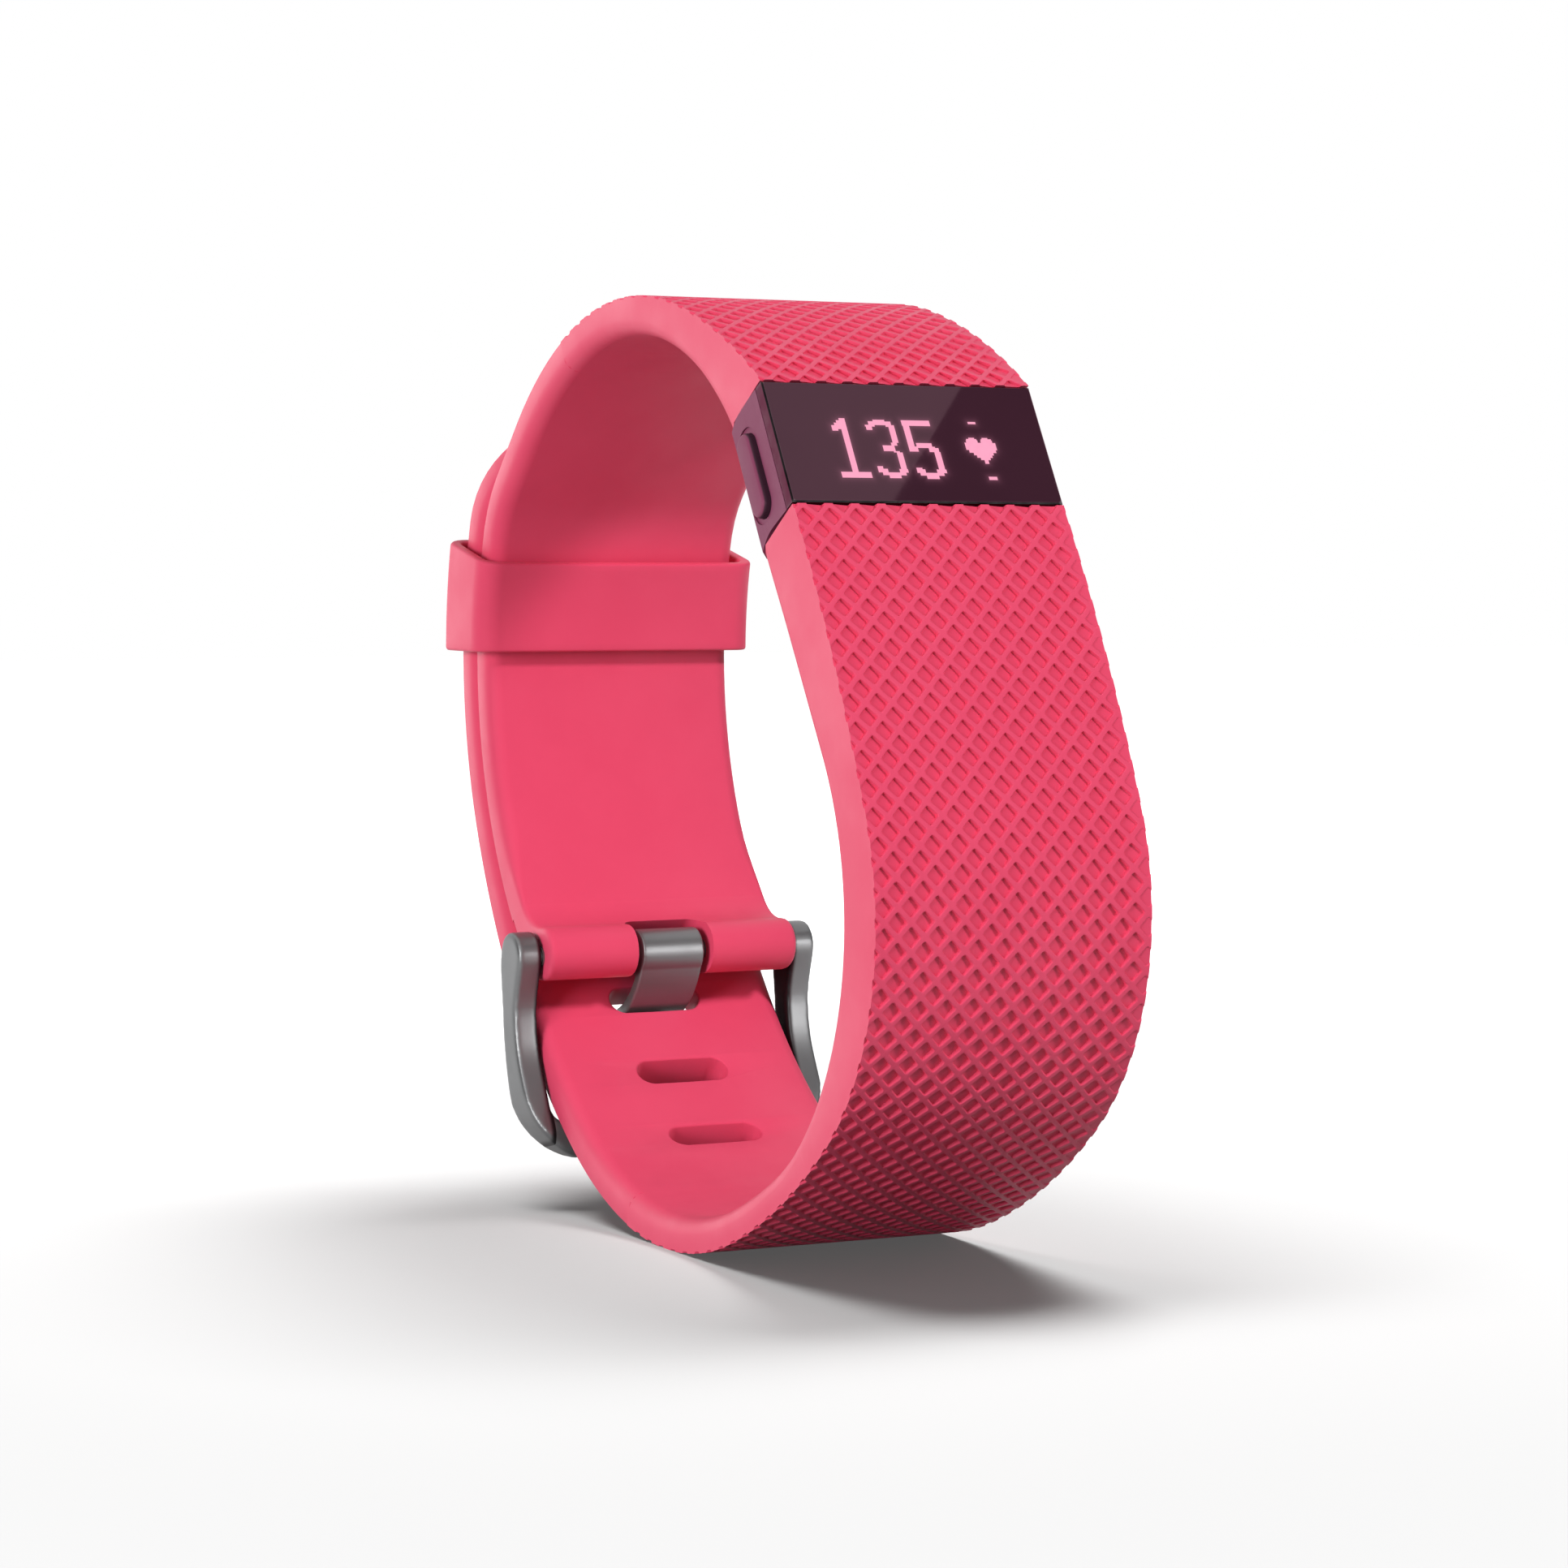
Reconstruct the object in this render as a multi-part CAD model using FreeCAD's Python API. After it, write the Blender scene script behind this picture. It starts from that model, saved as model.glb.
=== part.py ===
"""Fitness tracker band, closed and buckled as on a wrist.

Millimetres. X runs across the band, along the wrist. -Y is the display side, +Y the buckle side, +Z is up.
The origin is the middle of the wrist opening.
"""

import FreeCAD
import Part
import math
import os

V = FreeCAD.Vector
ALONG_X = V(1, 0, 0)

# ---- band ----
BAND_WIDTH = 21.0
HALF = BAND_WIDTH / 2
STRAP_THICK = 2.5
LAYER_GAP = 0.4            # between the two strap layers at the back
EDGE_CUT = 0.7             # long edges on the wrist side
RUN_CLEAR = 0.05           # radial clearance of every pin and plunger
FIT_GAP = 0.1              # between parts that sit inside one another
OVER = 1.0                 # how far a cutting shape stands past what it cuts

# ---- loop: one circle at the back; every other arc of the outer face is in proportion to it ----
BACK_R = 33.9
BACK_Y, BACK_Z = 0.0059 * BACK_R, 0.2330 * BACK_R
TOP_TURN = 27.3            # strap turns down from the display plane at the upper seam
TOP_FRONT_R, TOP_FRONT_SWEEP = 1.3805 * BACK_R, 18.8
TOP_CROWN_R, TOP_CROWN_SWEEP = 0.8879 * BACK_R, 58.5
TOP_JOIN = 16.0            # angle on the back circle where the top arcs end
TOP_SKIN_HEADING = 48.0    # inner face leaves the module at this angle
FRONT_TURN = 2.0
FRONT_R, FRONT_SWEEP = 3.8348 * BACK_R, 10.0
CHEEK_R, CHEEK_SWEEP = 0.5900 * BACK_R, 71.8
BASE_R, BASE_SWEEP = 1.4395 * BACK_R, 19.7
BASE_JOIN = -22.0          # angle on the back circle where the bottom arcs end
FRONT_SKIN_TURN = 1.5
FRONT_SKIN_STRAIGHT = 0.4572 * BACK_R

# ---- module: a flat display between the two strap roots ----
MODULE_LENGTH = 9.5        # along the band, at the display
MODULE_THICK = 6.0
MODULE_TILT = 60.0         # display face above horizontal, degrees
MODULE_Y, MODULE_Z = -0.5516 * BACK_R, 0.6873 * BACK_R
SEAM_STRAIGHT = 3.4        # depth at which both seams start to bend
SEAM_BEND_R = 4.0
SEAM_GAP = 0.08

# ---- long strap: tip and slots ----
TIP_LENGTH = 12.5
TIP_START = 17.0           # angle on the back circle where the tip starts to narrow
SLOT_LENGTH, SLOT_WIDTH = 7.6, 2.5
SLOT_PITCH, SLOT_COUNT = 7.2, 8
SLOT_IN_USE = 2            # which slot the tongue is through, and where round the loop it sits
SLOT_ANGLE = -48.99

# ---- buckle ----
PIN_R = 0.75
PIN_TIP_R = 0.55
PIN_INSIDE, PIN_ANGLE = 2.6, -46.9           # pin axis, inside the back circle
KNUCKLE_R = 2.0
KNUCKLE_OFF = 0.3          # middle of the knuckle, inwards from the pin axis
KNUCKLE_FILLET = 4.0
KNUCKLE_CROWN = 3.5
KNUCKLE_NOTCH = 6.4
KNUCKLE_CUT = 0.3
NOTCH_BEHIND, NOTCH_ROUND = 0.7, 0.9
FRAME_THICK = 2.6
FRAME_EYE_R = 1.9
FRAME_EYE_OUT = 0.95       # middle of the arm's round end, outwards from the pin axis
FRAME_LENGTH = 14.4         # middle of the round end to the far bar
BAR_SEARCH = -110.0        # the far bar lies above the strap between this angle and the pin
FRAME_BOW = 1.5            # how far the arms bow out from the straight line
FRAME_SIDE = 0.2           # gap between strap edge and arm
ARM_WIDTH = 2.0
BAR_WIDTH = 3.0
FRAME_CORNER, FRAME_INNER_CORNER = 5.5, 1.0
BAR_GAP = 0.94             # far bar to strap
PIN_SEAT = 1.2             # how deep the pin tips sit in the arms
TONGUE_WIDTH = 5.2
TONGUE_THICK = 0.9
TONGUE_EYE_R = 1.8
TONGUE_BEND_R = 2.6
TONGUE_PAST_SLOT = 0.6     # straight part past the middle of the strap
TONGUE_REST = 0.05         # gap to the bar it rests on
TONGUE_OVER = 1.6          # how far the tip reaches past the middle of the bar

# ---- keeper ----
KEEPER_ANGLE = 7.3         # middle of the keeper, from the centre of the back circle
KEEPER_LENGTH = 7.9
KEEPER_WALL = 1.15
KEEPER_CLEAR = 0.3
KEEPER_CORNER = 1.8

# ---- module parts, in the module's own frame ----
WINDOW_THICK = 1.0
WINDOW_BEVEL = 0.2
ADHESIVE_THICK = 0.1
ADHESIVE_INSET = 0.35
CASE_CHAMFER = 0.4
SIDE_WALL, END_WALL = 1.9, 1.25
CAVITY = (BAND_WIDTH - 2 * SIDE_WALL, MODULE_LENGTH - 2 * END_WALL)      # electronics space
LEDGE_W, LEDGE_THICK = 4.7, 0.4              # ledge under the rear cover's gasket
PANEL_SIZE = (CAVITY[0] - 0.8, CAVITY[1] - 0.6, 1.1)
BOARD_SIZE = (CAVITY[0] - 4 * FIT_GAP, CAVITY[1] - 2 * FIT_GAP, 0.6)
PANEL_TO_BOARD = 0.3
BOARD_BACK = -(WINDOW_THICK + PANEL_SIZE[2] + PANEL_TO_BOARD + BOARD_SIZE[2])
FLEX_WIDTH, FLEX_LENGTH, FLEX_THICK = 6.0, 2.0, 0.12
WING_SIDE, WING_LENGTH, WING_THICK, WING_DEPTH = 2.3, 12.6, 3.0, 1.5
WING_WALL = 0.45
WING_WIDTH = BAND_WIDTH - 2 * WING_SIDE
BATTERY_EDGE, BATTERY_GAP = 0.5, 0.15
BATTERY_SPARE = 0.8        # for leads and tape at the cell's far end
BATTERY_SIZE = (WING_WIDTH - 2 * WING_WALL - 2 * BATTERY_GAP,
                WING_LENGTH - WING_WALL - BATTERY_GAP - BATTERY_SPARE,
                WING_THICK - 2 * WING_WALL - 2 * FIT_GAP)
MOTOR_R, MOTOR_THICK = 3.5, 1.9
MOTOR_WING_LENGTH, MOTOR_WING_THICK, MOTOR_WING_TURN = 8.2, 2.8, 29.0
MOTOR_WING_ROOT, MOTOR_WING_W = 1.0, -2.6    # where its middle line starts inside the case
COVER_SIDE, COVER_END, COVER_CORNER = 1.5, 1.35, 0.9
COVER_SIZE = (BAND_WIDTH - 2 * COVER_SIDE, MODULE_LENGTH - 2 * COVER_END, 1.0)
OPENING_SIDE, OPENING_END, OPENING_CORNER = 2.0, 1.3, 0.8
OPENING = (COVER_SIZE[0] - 2 * OPENING_SIDE, COVER_SIZE[1] - 2 * OPENING_END)
COVER_SHIFT = -0.75        # skin face lies lower than the display, because the seams bend down
GASKET_WIDTH, GASKET_THICK = 0.5, 0.3
LENS_SIZE, LENS_CORNER, LENS_PROUD, LENS_EDGE = (7.0, 4.0), 1.0, 0.5, 0.35
LED_SIZE, LED_SPACING = (1.5, 1.2, 0.7), 4.6
DIODE_SIZE = (1.8, 1.8, 0.6)
SHIELD_WALL = 0.35
SOCKET_SIZE, SOCKET_CORNER, SOCKET_DEPTH = (3.6, 4.2), 0.6, 0.4
SOCKET_SIDE = 1.4          # socket to the cover's end
SOCKET_X = COVER_SIZE[0] / 2 - SOCKET_SIDE - SOCKET_SIZE[0] / 2
CONTACT_R, CONTACT_PITCH, CONTACT_COUNT = 0.35, 1.3, 3
SCREW_HEAD_R, SCREW_SHANK_R, SCREW_LENGTH = 0.62, 0.4, 2.2
SCREW_HEAD = 0.4
SCREW_SIDE, SCREW_END = 0.9, 0.95            # screw axes to the cover's edges
SCREW_X, SCREW_U = COVER_SIZE[0] / 2 - SCREW_SIDE, COVER_SIZE[1] / 2 - SCREW_END
BOSS_R = 1.0

# ---- side button ----
BUTTON_LENGTH, BUTTON_WIDTH, BUTTON_PROUD = 6.4, 2.1, 0.45
BUTTON_U, BUTTON_W = -0.35, -4.0
BUTTON_HEAD = 1.0          # thickness of the pill
BUTTON_TRAVEL = 0.3
RECESS_MARGIN, RECESS_DEPTH = 0.45, 0.15
BUTTON_EDGE = 0.25
STEM_R, STEM_W = 0.6, -3.55
STEM_END = -HALF + 1.6
POCKET_END = -HALF - BUTTON_PROUD + BUTTON_HEAD + BUTTON_TRAVEL + FIT_GAP
SEAL_THICK, SEAL_R = 0.5, 0.85
PLUNGER_R, PLUNGER_LENGTH, PLUNGER_GAP = 0.4, 0.35, 0.02
SWITCH_SIZE = (1.8, 2.0, 1.1)

TILT = math.radians(MODULE_TILT)
PIN_RADIUS = BACK_R - PIN_INSIDE
DEEP_R = BACK_R - STRAP_THICK               # inner face of the short strap at the back
TAIL_IN_R = BACK_R + LAYER_GAP
TAIL_OUT_R = TAIL_IN_R + STRAP_THICK


def unit(degrees):
    """Unit vector (y, z) at an angle from +Y towards +Z."""
    a = math.radians(degrees)
    return math.cos(a), math.sin(a)


def polar(radius, degrees):
    """Point at a radius and angle from the centre of the back circle."""
    c, s = unit(degrees)
    return BACK_Y + radius * c, BACK_Z + radius * s


def bearing(point):
    """Angle of a point seen from the centre of the back circle."""
    return math.degrees(math.atan2(point[1] - BACK_Z, point[0] - BACK_Y))


def module_point(u, w):
    """Module frame (u along the band, w out of the display) to (y, z)."""
    y = MODULE_Y + u * math.cos(TILT) - w * math.sin(TILT)
    z = MODULE_Z + u * math.sin(TILT) + w * math.cos(TILT)
    return y, z


def meet(y1, z1, r1, y2, z2, r2, side):
    """Crossing of two circles; side +1 or -1 picks it to the left or right of the line 1 to 2."""
    dy, dz = y2 - y1, z2 - z1
    d = math.hypot(dy, dz)
    along = (r1 * r1 - r2 * r2 + d * d) / (2 * d)
    off = side * math.sqrt(r1 * r1 - along * along)
    return y1 + (along * dy - off * dz) / d, z1 + (along * dz + off * dy) / d


class Outline:
    """Chain of tangent arcs and lines in the Y-Z plane, walked from a start point and heading."""

    def __init__(self, point, heading):
        self.start = point
        self.point = point
        self.heading = heading
        self.runs = []      # (kind, start point, heading, radius or length, sweep)

    def line(self, length):
        c, s = unit(self.heading)
        self.runs.append(("line", self.point, self.heading, length, 0.0))
        self.point = (self.point[0] + length * c, self.point[1] + length * s)
        return self

    def arc(self, radius, sweep):
        """Arc of a positive radius; a positive sweep turns left."""
        self.runs.append(("arc", self.point, self.heading, radius, sweep))
        self.point = self._on_arc(self.runs[-1], 1.0)
        self.heading += sweep
        return self

    def arc_to(self, target):
        """The one arc that leaves along the heading and ends on the target."""
        c, s = unit(self.heading)
        dy, dz = target[0] - self.point[0], target[1] - self.point[1]
        side = c * dz - s * dy
        if abs(side) < 1e-9:
            return self.line(math.hypot(dy, dz))
        radius = (dy * dy + dz * dz) / (2 * abs(side))
        half = math.atan2(abs(side), c * dy + s * dz)
        return self.arc(radius, math.copysign(math.degrees(2 * half), side))

    def biarc_to(self, target, heading):
        """Two tangent arcs to a target point and heading."""
        t1, t2 = unit(self.heading), unit(heading)
        v = (target[0] - self.point[0], target[1] - self.point[1])
        t = (t1[0] + t2[0], t1[1] + t2[1])
        a = 2 * (t1[0] * t2[0] + t1[1] * t2[1] - 1)
        b = -2 * (v[0] * t[0] + v[1] * t[1])
        c = v[0] * v[0] + v[1] * v[1]
        d = max((-b - math.sqrt(b * b - 4 * a * c)) / (2 * a), (-b + math.sqrt(b * b - 4 * a * c)) / (2 * a))
        joint = tuple((self.point[i] + target[i] + d * (t1[i] - t2[i])) / 2 for i in (0, 1))
        return self.arc_to(joint).arc_to(target)

    def tie_to(self, centre, radius):
        """Arc that runs into a circle, tangent to it from inside or outside."""
        side = 1.0 if self._left_of(centre) else -1.0
        c, s = unit(self.heading)
        n = (-side * s, side * c)
        d = (self.point[0] - centre[0], self.point[1] - centre[1])
        r = (radius * radius - d[0] ** 2 - d[1] ** 2) / (2 * (radius + n[0] * d[0] + n[1] * d[1]))
        q = (self.point[0] + n[0] * r, self.point[1] + n[1] * r)
        gap = math.hypot(q[0] - centre[0], q[1] - centre[1])
        k = math.copysign(radius / gap, radius - r)
        return self.arc_to((centre[0] + (q[0] - centre[0]) * k, centre[1] + (q[1] - centre[1]) * k))

    def bend_to(self, target, radius):
        """Bend to the right, then a straight line to the target."""
        c, s = unit(self.heading)
        q = (self.point[0] + s * radius, self.point[1] - c * radius)
        gap = math.dist(q, target)
        aim = math.atan2(target[1] - q[1], target[0] - q[0]) - math.asin(radius / gap)
        sweep = (math.degrees(aim) - self.heading) % 360 - 360
        self.arc(radius, sweep)
        return self.line(math.dist(self.point, target))

    def _left_of(self, centre):
        c, s = unit(self.heading)
        return c * (centre[1] - self.point[1]) - s * (centre[0] - self.point[0]) > 0

    @staticmethod
    def centre(run):
        kind, point, heading, radius, sweep = run
        c, s = unit(heading)
        side = math.copysign(radius, sweep)
        return point[0] - s * side, point[1] + c * side

    @classmethod
    def _on_arc(cls, run, share):
        kind, point, heading, radius, sweep = run
        if kind == "line":
            c, s = unit(heading)
            return point[0] + radius * share * c, point[1] + radius * share * s
        cy, cz = cls.centre(run)
        c, s = unit(sweep * share)
        dy, dz = point[0] - cy, point[1] - cz
        return cy + dy * c - dz * s, cz + dy * s + dz * c

    @staticmethod
    def _length(run):
        return run[3] if run[0] == "line" else run[3] * math.radians(abs(run[4]))

    def length(self):
        return sum(self._length(run) for run in self.runs)

    def at(self, distance):
        """Point and heading at a distance along the outline."""
        for run in self.runs:
            size = self._length(run)
            if distance <= size:
                share = distance / size
                return self._on_arc(run, share), run[2] + run[4] * share
            distance -= size
        return self.point, self.heading

    def solve(self, low, high, rising):
        """Distance between low and high where a measure of the point and heading reaches zero."""
        for _ in range(40):
            middle = (low + high) / 2
            low, high = (low, middle) if rising(*self.at(middle)) > 0 else (middle, high)
        return low

    def reach(self, angle):
        """Distance at which a lower run passes an angle about the back circle's centre."""
        return self.solve(0.0, self.length(), lambda point, heading: (bearing(point) - angle + 180) % 360 - 180)

    def offset(self, distance, first=0):
        """The same outline moved to its left, from the run numbered first."""
        kind, point, heading, size, sweep = self.runs[first]
        c, s = unit(heading)
        moved = Outline((point[0] - distance * s, point[1] + distance * c), heading)
        for kind, point, heading, size, sweep in self.runs[first:]:
            if kind == "line":
                moved.line(size)
            else:
                moved.arc(size - distance * math.copysign(1, sweep), sweep)
        return moved

    def reverse(self):
        """The same outline walked the other way."""
        back = Outline(self.point, self.heading + 180)
        for kind, point, heading, size, sweep in reversed(self.runs):
            back.line(size) if kind == "line" else back.arc(size, -sweep)
        return back

    def edges(self, x):
        made = []
        for run in self.runs:
            ends = [V(x, *self._on_arc(run, share)) for share in (0.0, 0.5, 1.0)]
            if run[0] == "line":
                made.append(Part.makeLine(ends[0], ends[2]))
            else:
                made.append(Part.Arc(*ends).toShape())
        return made


def joined(outline, other, first=0):
    """Outline continued by the runs of another one."""
    for kind, point, heading, size, sweep in other.runs[first:]:
        outline.line(size) if kind == "line" else outline.arc(size, sweep)
    return outline


def shortened(outline, length):
    """The first part of an outline."""
    cut = Outline(outline.start, outline.runs[0][2])
    for kind, point, heading, size, sweep in outline.runs:
        share = min(1.0, (length - cut.length()) / Outline._length((kind, point, heading, size, sweep)))
        if share > 1e-9:
            cut.line(size * share) if kind == "line" else cut.arc(size, sweep * share)
    return cut


def slab(outlines, x_low, x_high):
    """Solid between two X planes, bounded by outlines in order, closed by straight lines."""
    edges = []
    for i, outline in enumerate(outlines):
        edges += outline.edges(x_low)
        following = outlines[(i + 1) % len(outlines)].start
        if math.dist(outline.point, following) > 1e-6:
            edges.append(Part.makeLine(V(x_low, *outline.point), V(x_low, *following)))
    return Part.Face(Part.Wire(edges)).extrude(V(x_high - x_low, 0, 0))


def bar_x(radius, x_low, x_high, y, z):
    return Part.makeCylinder(radius, x_high - x_low, V(x_low, y, z), ALONG_X)


def block(size, centre):
    """Box of a size about a centre."""
    return Part.makeBox(*size, V(*centre) - V(*size) * 0.5)


def pill(length, width, x_low, x_high, u, w):
    """Long pill along u in the module frame, between two X planes."""
    depth = x_high - x_low
    straight = length - width
    middle = block((depth, straight, width), ((x_low + x_high) / 2, u, w))
    ends = [bar_x(width / 2, x_low, x_high, u + side * straight / 2, w) for side in (-1, 1)]
    return middle.fuse(ends).removeSplitter()


def rounded_plate(size, radius, centre):
    """Box with its four upright edges rounded."""
    plate = block(size, centre)
    upright = [e for e in plate.Edges if abs(e.tangentAt(e.FirstParameter).z) > 0.99]
    return plate.makeFillet(radius, upright)


def place_module(shape):
    """Module frame (x across, y along the band, z out of the display) to the band's frame."""
    shape = shape.copy()
    turn = FreeCAD.Rotation(ALONG_X, MODULE_TILT)
    shape.Placement = FreeCAD.Placement(V(0, MODULE_Y, MODULE_Z), turn).multiply(shape.Placement)
    return shape


# ---- strap outlines ----

def seam(end, gap):
    """Seam between module and strap from the display to the skin, at u = end moved by gap."""
    bend = math.degrees(math.asin((MODULE_THICK - SEAM_STRAIGHT) / SEAM_BEND_R))
    line = Outline(module_point(end + gap, 0.0), MODULE_TILT - 90)
    return line.line(SEAM_STRAIGHT).arc(SEAM_BEND_R, -bend)


def short_outer():
    start = module_point(MODULE_LENGTH / 2 + SEAM_GAP, 0.0)
    line = Outline(start, MODULE_TILT - TOP_TURN)
    line.arc(TOP_FRONT_R, -TOP_FRONT_SWEEP).arc(TOP_CROWN_R, -TOP_CROWN_SWEEP)
    return line.biarc_to(polar(BACK_R, TOP_JOIN), TOP_JOIN - 90)


def long_outer():
    start = module_point(-MODULE_LENGTH / 2 - SEAM_GAP, 0.0)
    line = Outline(start, MODULE_TILT - 180 - FRONT_TURN)
    line.arc(FRONT_R, FRONT_SWEEP).arc(CHEEK_R, CHEEK_SWEEP).arc(BASE_R, BASE_SWEEP)
    line.biarc_to(polar(TAIL_OUT_R, BASE_JOIN), BASE_JOIN + 90)
    line.arc(TAIL_OUT_R, TOP_JOIN - BASE_JOIN)
    follow = short_outer().offset(LAYER_GAP + STRAP_THICK).reverse()
    reach = TIP_LENGTH + math.radians(TIP_START - TOP_JOIN) * TAIL_OUT_R
    return joined(line, shortened(follow, reach))


def short_inner():
    """Inner face of the short strap from the module's skin corner to the back circle."""
    outer = short_outer()
    crown = outer.runs[1]
    line = Outline(seam(MODULE_LENGTH / 2, SEAM_GAP).point, TOP_SKIN_HEADING)
    line.tie_to(Outline.centre(crown), TOP_CROWN_R - STRAP_THICK)
    rest = outer.offset(-STRAP_THICK, 2)
    line.arc_to(rest.start)
    return joined(line, rest)


def long_inner():
    """Inner face of the long strap from the module's skin corner to the tip."""
    outer = long_outer()
    line = Outline(seam(-MODULE_LENGTH / 2, -SEAM_GAP).point, MODULE_TILT - 180 - FRONT_SKIN_TURN)
    line.line(FRONT_SKIN_STRAIGHT).tie_to(Outline.centre(outer.runs[2]), BASE_R - STRAP_THICK)
    rest = outer.offset(STRAP_THICK, 3)
    line.arc_to(rest.start)
    return joined(line, rest)


def pin_axis():
    return polar(PIN_RADIUS, PIN_ANGLE)


def knuckle_outline():
    """Knuckle at the end of the short strap: out along the outer face, round the pin and back inside."""
    py, pz = polar(PIN_RADIUS - KNUCKLE_OFF, PIN_ANGLE)
    crown = meet(BACK_Y, BACK_Z, BACK_R - KNUCKLE_CROWN, py, pz, KNUCKLE_CROWN - KNUCKLE_R, 1)
    fillet = meet(BACK_Y, BACK_Z, DEEP_R - KNUCKLE_FILLET, py, pz, KNUCKLE_R + KNUCKLE_FILLET, 1)

    def toward(start, end, distance):
        gap = math.dist(start, end)
        return tuple(start[i] + (end[i] - start[i]) * distance / gap for i in (0, 1))

    inside = toward((BACK_Y, BACK_Z), fillet, DEEP_R)
    angle = bearing(inside)
    line = Outline(polar(BACK_R, angle), angle - 90)
    line.arc_to(toward((BACK_Y, BACK_Z), crown, BACK_R))
    line.arc_to(toward(crown, (py, pz), KNUCKLE_CROWN))
    line.arc_to(toward((py, pz), fillet, KNUCKLE_R))
    return line.arc_to(inside), angle


def ease_skin_edges(solid, inner, amount):
    """Takes off the long edges on the wrist side that follow an outline."""
    middles = [Outline._on_arc(run, 0.5) for run in inner.runs]
    chosen = []
    for edge in solid.Edges:
        middle = edge.valueAt((edge.FirstParameter + edge.LastParameter) / 2)
        if abs(abs(middle.x) - HALF) > 1e-3:
            continue
        if min(math.dist((middle.y, middle.z), m) for m in middles) < 0.05:
            chosen.append(edge)
    return solid.makeChamfer(amount, chosen)


def wing_space(gap):
    """Battery wing grown by a gap, module frame."""
    size = (WING_WIDTH + 2 * gap, WING_LENGTH + 2 * gap, WING_THICK + 2 * gap)
    return block(size, (0, -MODULE_LENGTH / 2 - WING_LENGTH / 2, -WING_DEPTH - WING_THICK / 2))


def motor_wing_frame():
    turn = FreeCAD.Rotation(ALONG_X, -MOTOR_WING_TURN)
    return FreeCAD.Placement(V(0, MODULE_LENGTH / 2 - MOTOR_WING_ROOT, MOTOR_WING_W), turn)


def motor_wing_space(gap):
    """Motor wing grown by a gap, module frame."""
    length = MOTOR_WING_ROOT + MOTOR_WING_LENGTH
    size = (WING_WIDTH + 2 * gap, length + 2 * gap, MOTOR_WING_THICK + 2 * gap)
    wing = block(size, (0, length / 2, 0))
    wing.Placement = motor_wing_frame()
    return wing


def short_strap():
    knuckled, angle = knuckle_outline()
    outer, inner = short_outer(), short_inner()
    for line, radius in ((outer, BACK_R), (inner, DEEP_R)):
        line.arc(radius, angle - TOP_JOIN)
    ends = seam(MODULE_LENGTH / 2, SEAM_GAP)
    solid = slab([outer, inner.reverse(), ends.reverse()], -HALF, HALF)
    solid = ease_skin_edges(solid, inner, EDGE_CUT)
    barrel = slab([knuckled], -HALF, HALF)
    barrel = ease_skin_edges(barrel, knuckled, KNUCKLE_CUT)
    solid = solid.fuse(barrel)
    py, pz = pin_axis()
    reach = KNUCKLE_R + NOTCH_BEHIND
    away = Part.makeBox(KNUCKLE_NOTCH, 4 * KNUCKLE_R, 3 * reach, V(-KNUCKLE_NOTCH / 2, -2 * KNUCKLE_R, -2 * reach))
    upright = [e for e in away.Edges if abs(e.tangentAt(e.FirstParameter).y) > 0.99 and e.CenterOfMass.z > 0]
    away = away.makeFillet(NOTCH_ROUND, upright)
    away.Placement = FreeCAD.Placement(V(0, py, pz), FreeCAD.Rotation(ALONG_X, 90 + PIN_ANGLE))
    solid = solid.cut(away).cut(bar_x(PIN_R + RUN_CLEAR, -HALF - OVER, HALF + OVER, py, pz))
    return solid.cut(place_module(motor_wing_space(FIT_GAP)))


def tip_waste(outer):
    """What is cut off the tail to give it a rounded tip."""
    begin, heading = outer.at(outer.length() - TIP_LENGTH)
    end = outer.point
    along = math.degrees(math.atan2(end[1] - begin[1], end[0] - begin[0]))
    reach = math.dist(begin, end)
    deep = 4 * STRAP_THICK
    tool = Part.makeBox(BAND_WIDTH + 2 * OVER, TIP_LENGTH + OVER, 2 * deep, V(-HALF - OVER, 0, -deep))
    ellipse = Part.Ellipse(V(0, reach, -deep), V(HALF, 0, -deep), V(0, 0, -deep))
    tool = tool.cut(Part.Face(Part.Wire([ellipse.toShape()])).extrude(V(0, 0, 2 * deep)))
    tool.Placement = FreeCAD.Placement(V(0, *begin), FreeCAD.Rotation(ALONG_X, along))
    return tool


def slot_place(inner, number):
    """Point and heading on the inner face of a slot counted from the module."""
    return inner.at(inner.reach(SLOT_ANGLE) + (number - SLOT_IN_USE) * SLOT_PITCH)


def slot_tool(inner, number):
    """Slot number counted from the module, cut square to the inner face."""
    (y, z), heading = slot_place(inner, number)
    half = (SLOT_LENGTH - SLOT_WIDTH) / 2
    depth = 2 * STRAP_THICK
    middle = Part.makeBox(2 * half, SLOT_WIDTH, 2 * depth, V(-half, -SLOT_WIDTH / 2, -depth))
    ends = [Part.makeCylinder(SLOT_WIDTH / 2, 2 * depth, V(side * half, 0, -depth)) for side in (-1, 1)]
    tool = middle.fuse(ends).removeSplitter()
    tool.Placement = FreeCAD.Placement(V(0, y, z), FreeCAD.Rotation(ALONG_X, heading))
    return tool


def long_strap():
    outer, inner = long_outer(), long_inner()
    ends = seam(-MODULE_LENGTH / 2, -SEAM_GAP)
    solid = slab([outer, inner.reverse(), ends.reverse()], -HALF, HALF)
    solid = ease_skin_edges(solid, inner, EDGE_CUT)
    for number in range(SLOT_COUNT):
        solid = solid.cut(slot_tool(inner, number))
    solid = solid.cut(tip_waste(outer))
    return solid.cut(place_module(wing_space(FIT_GAP)))


# ---- module, in its own frame ----

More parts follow.
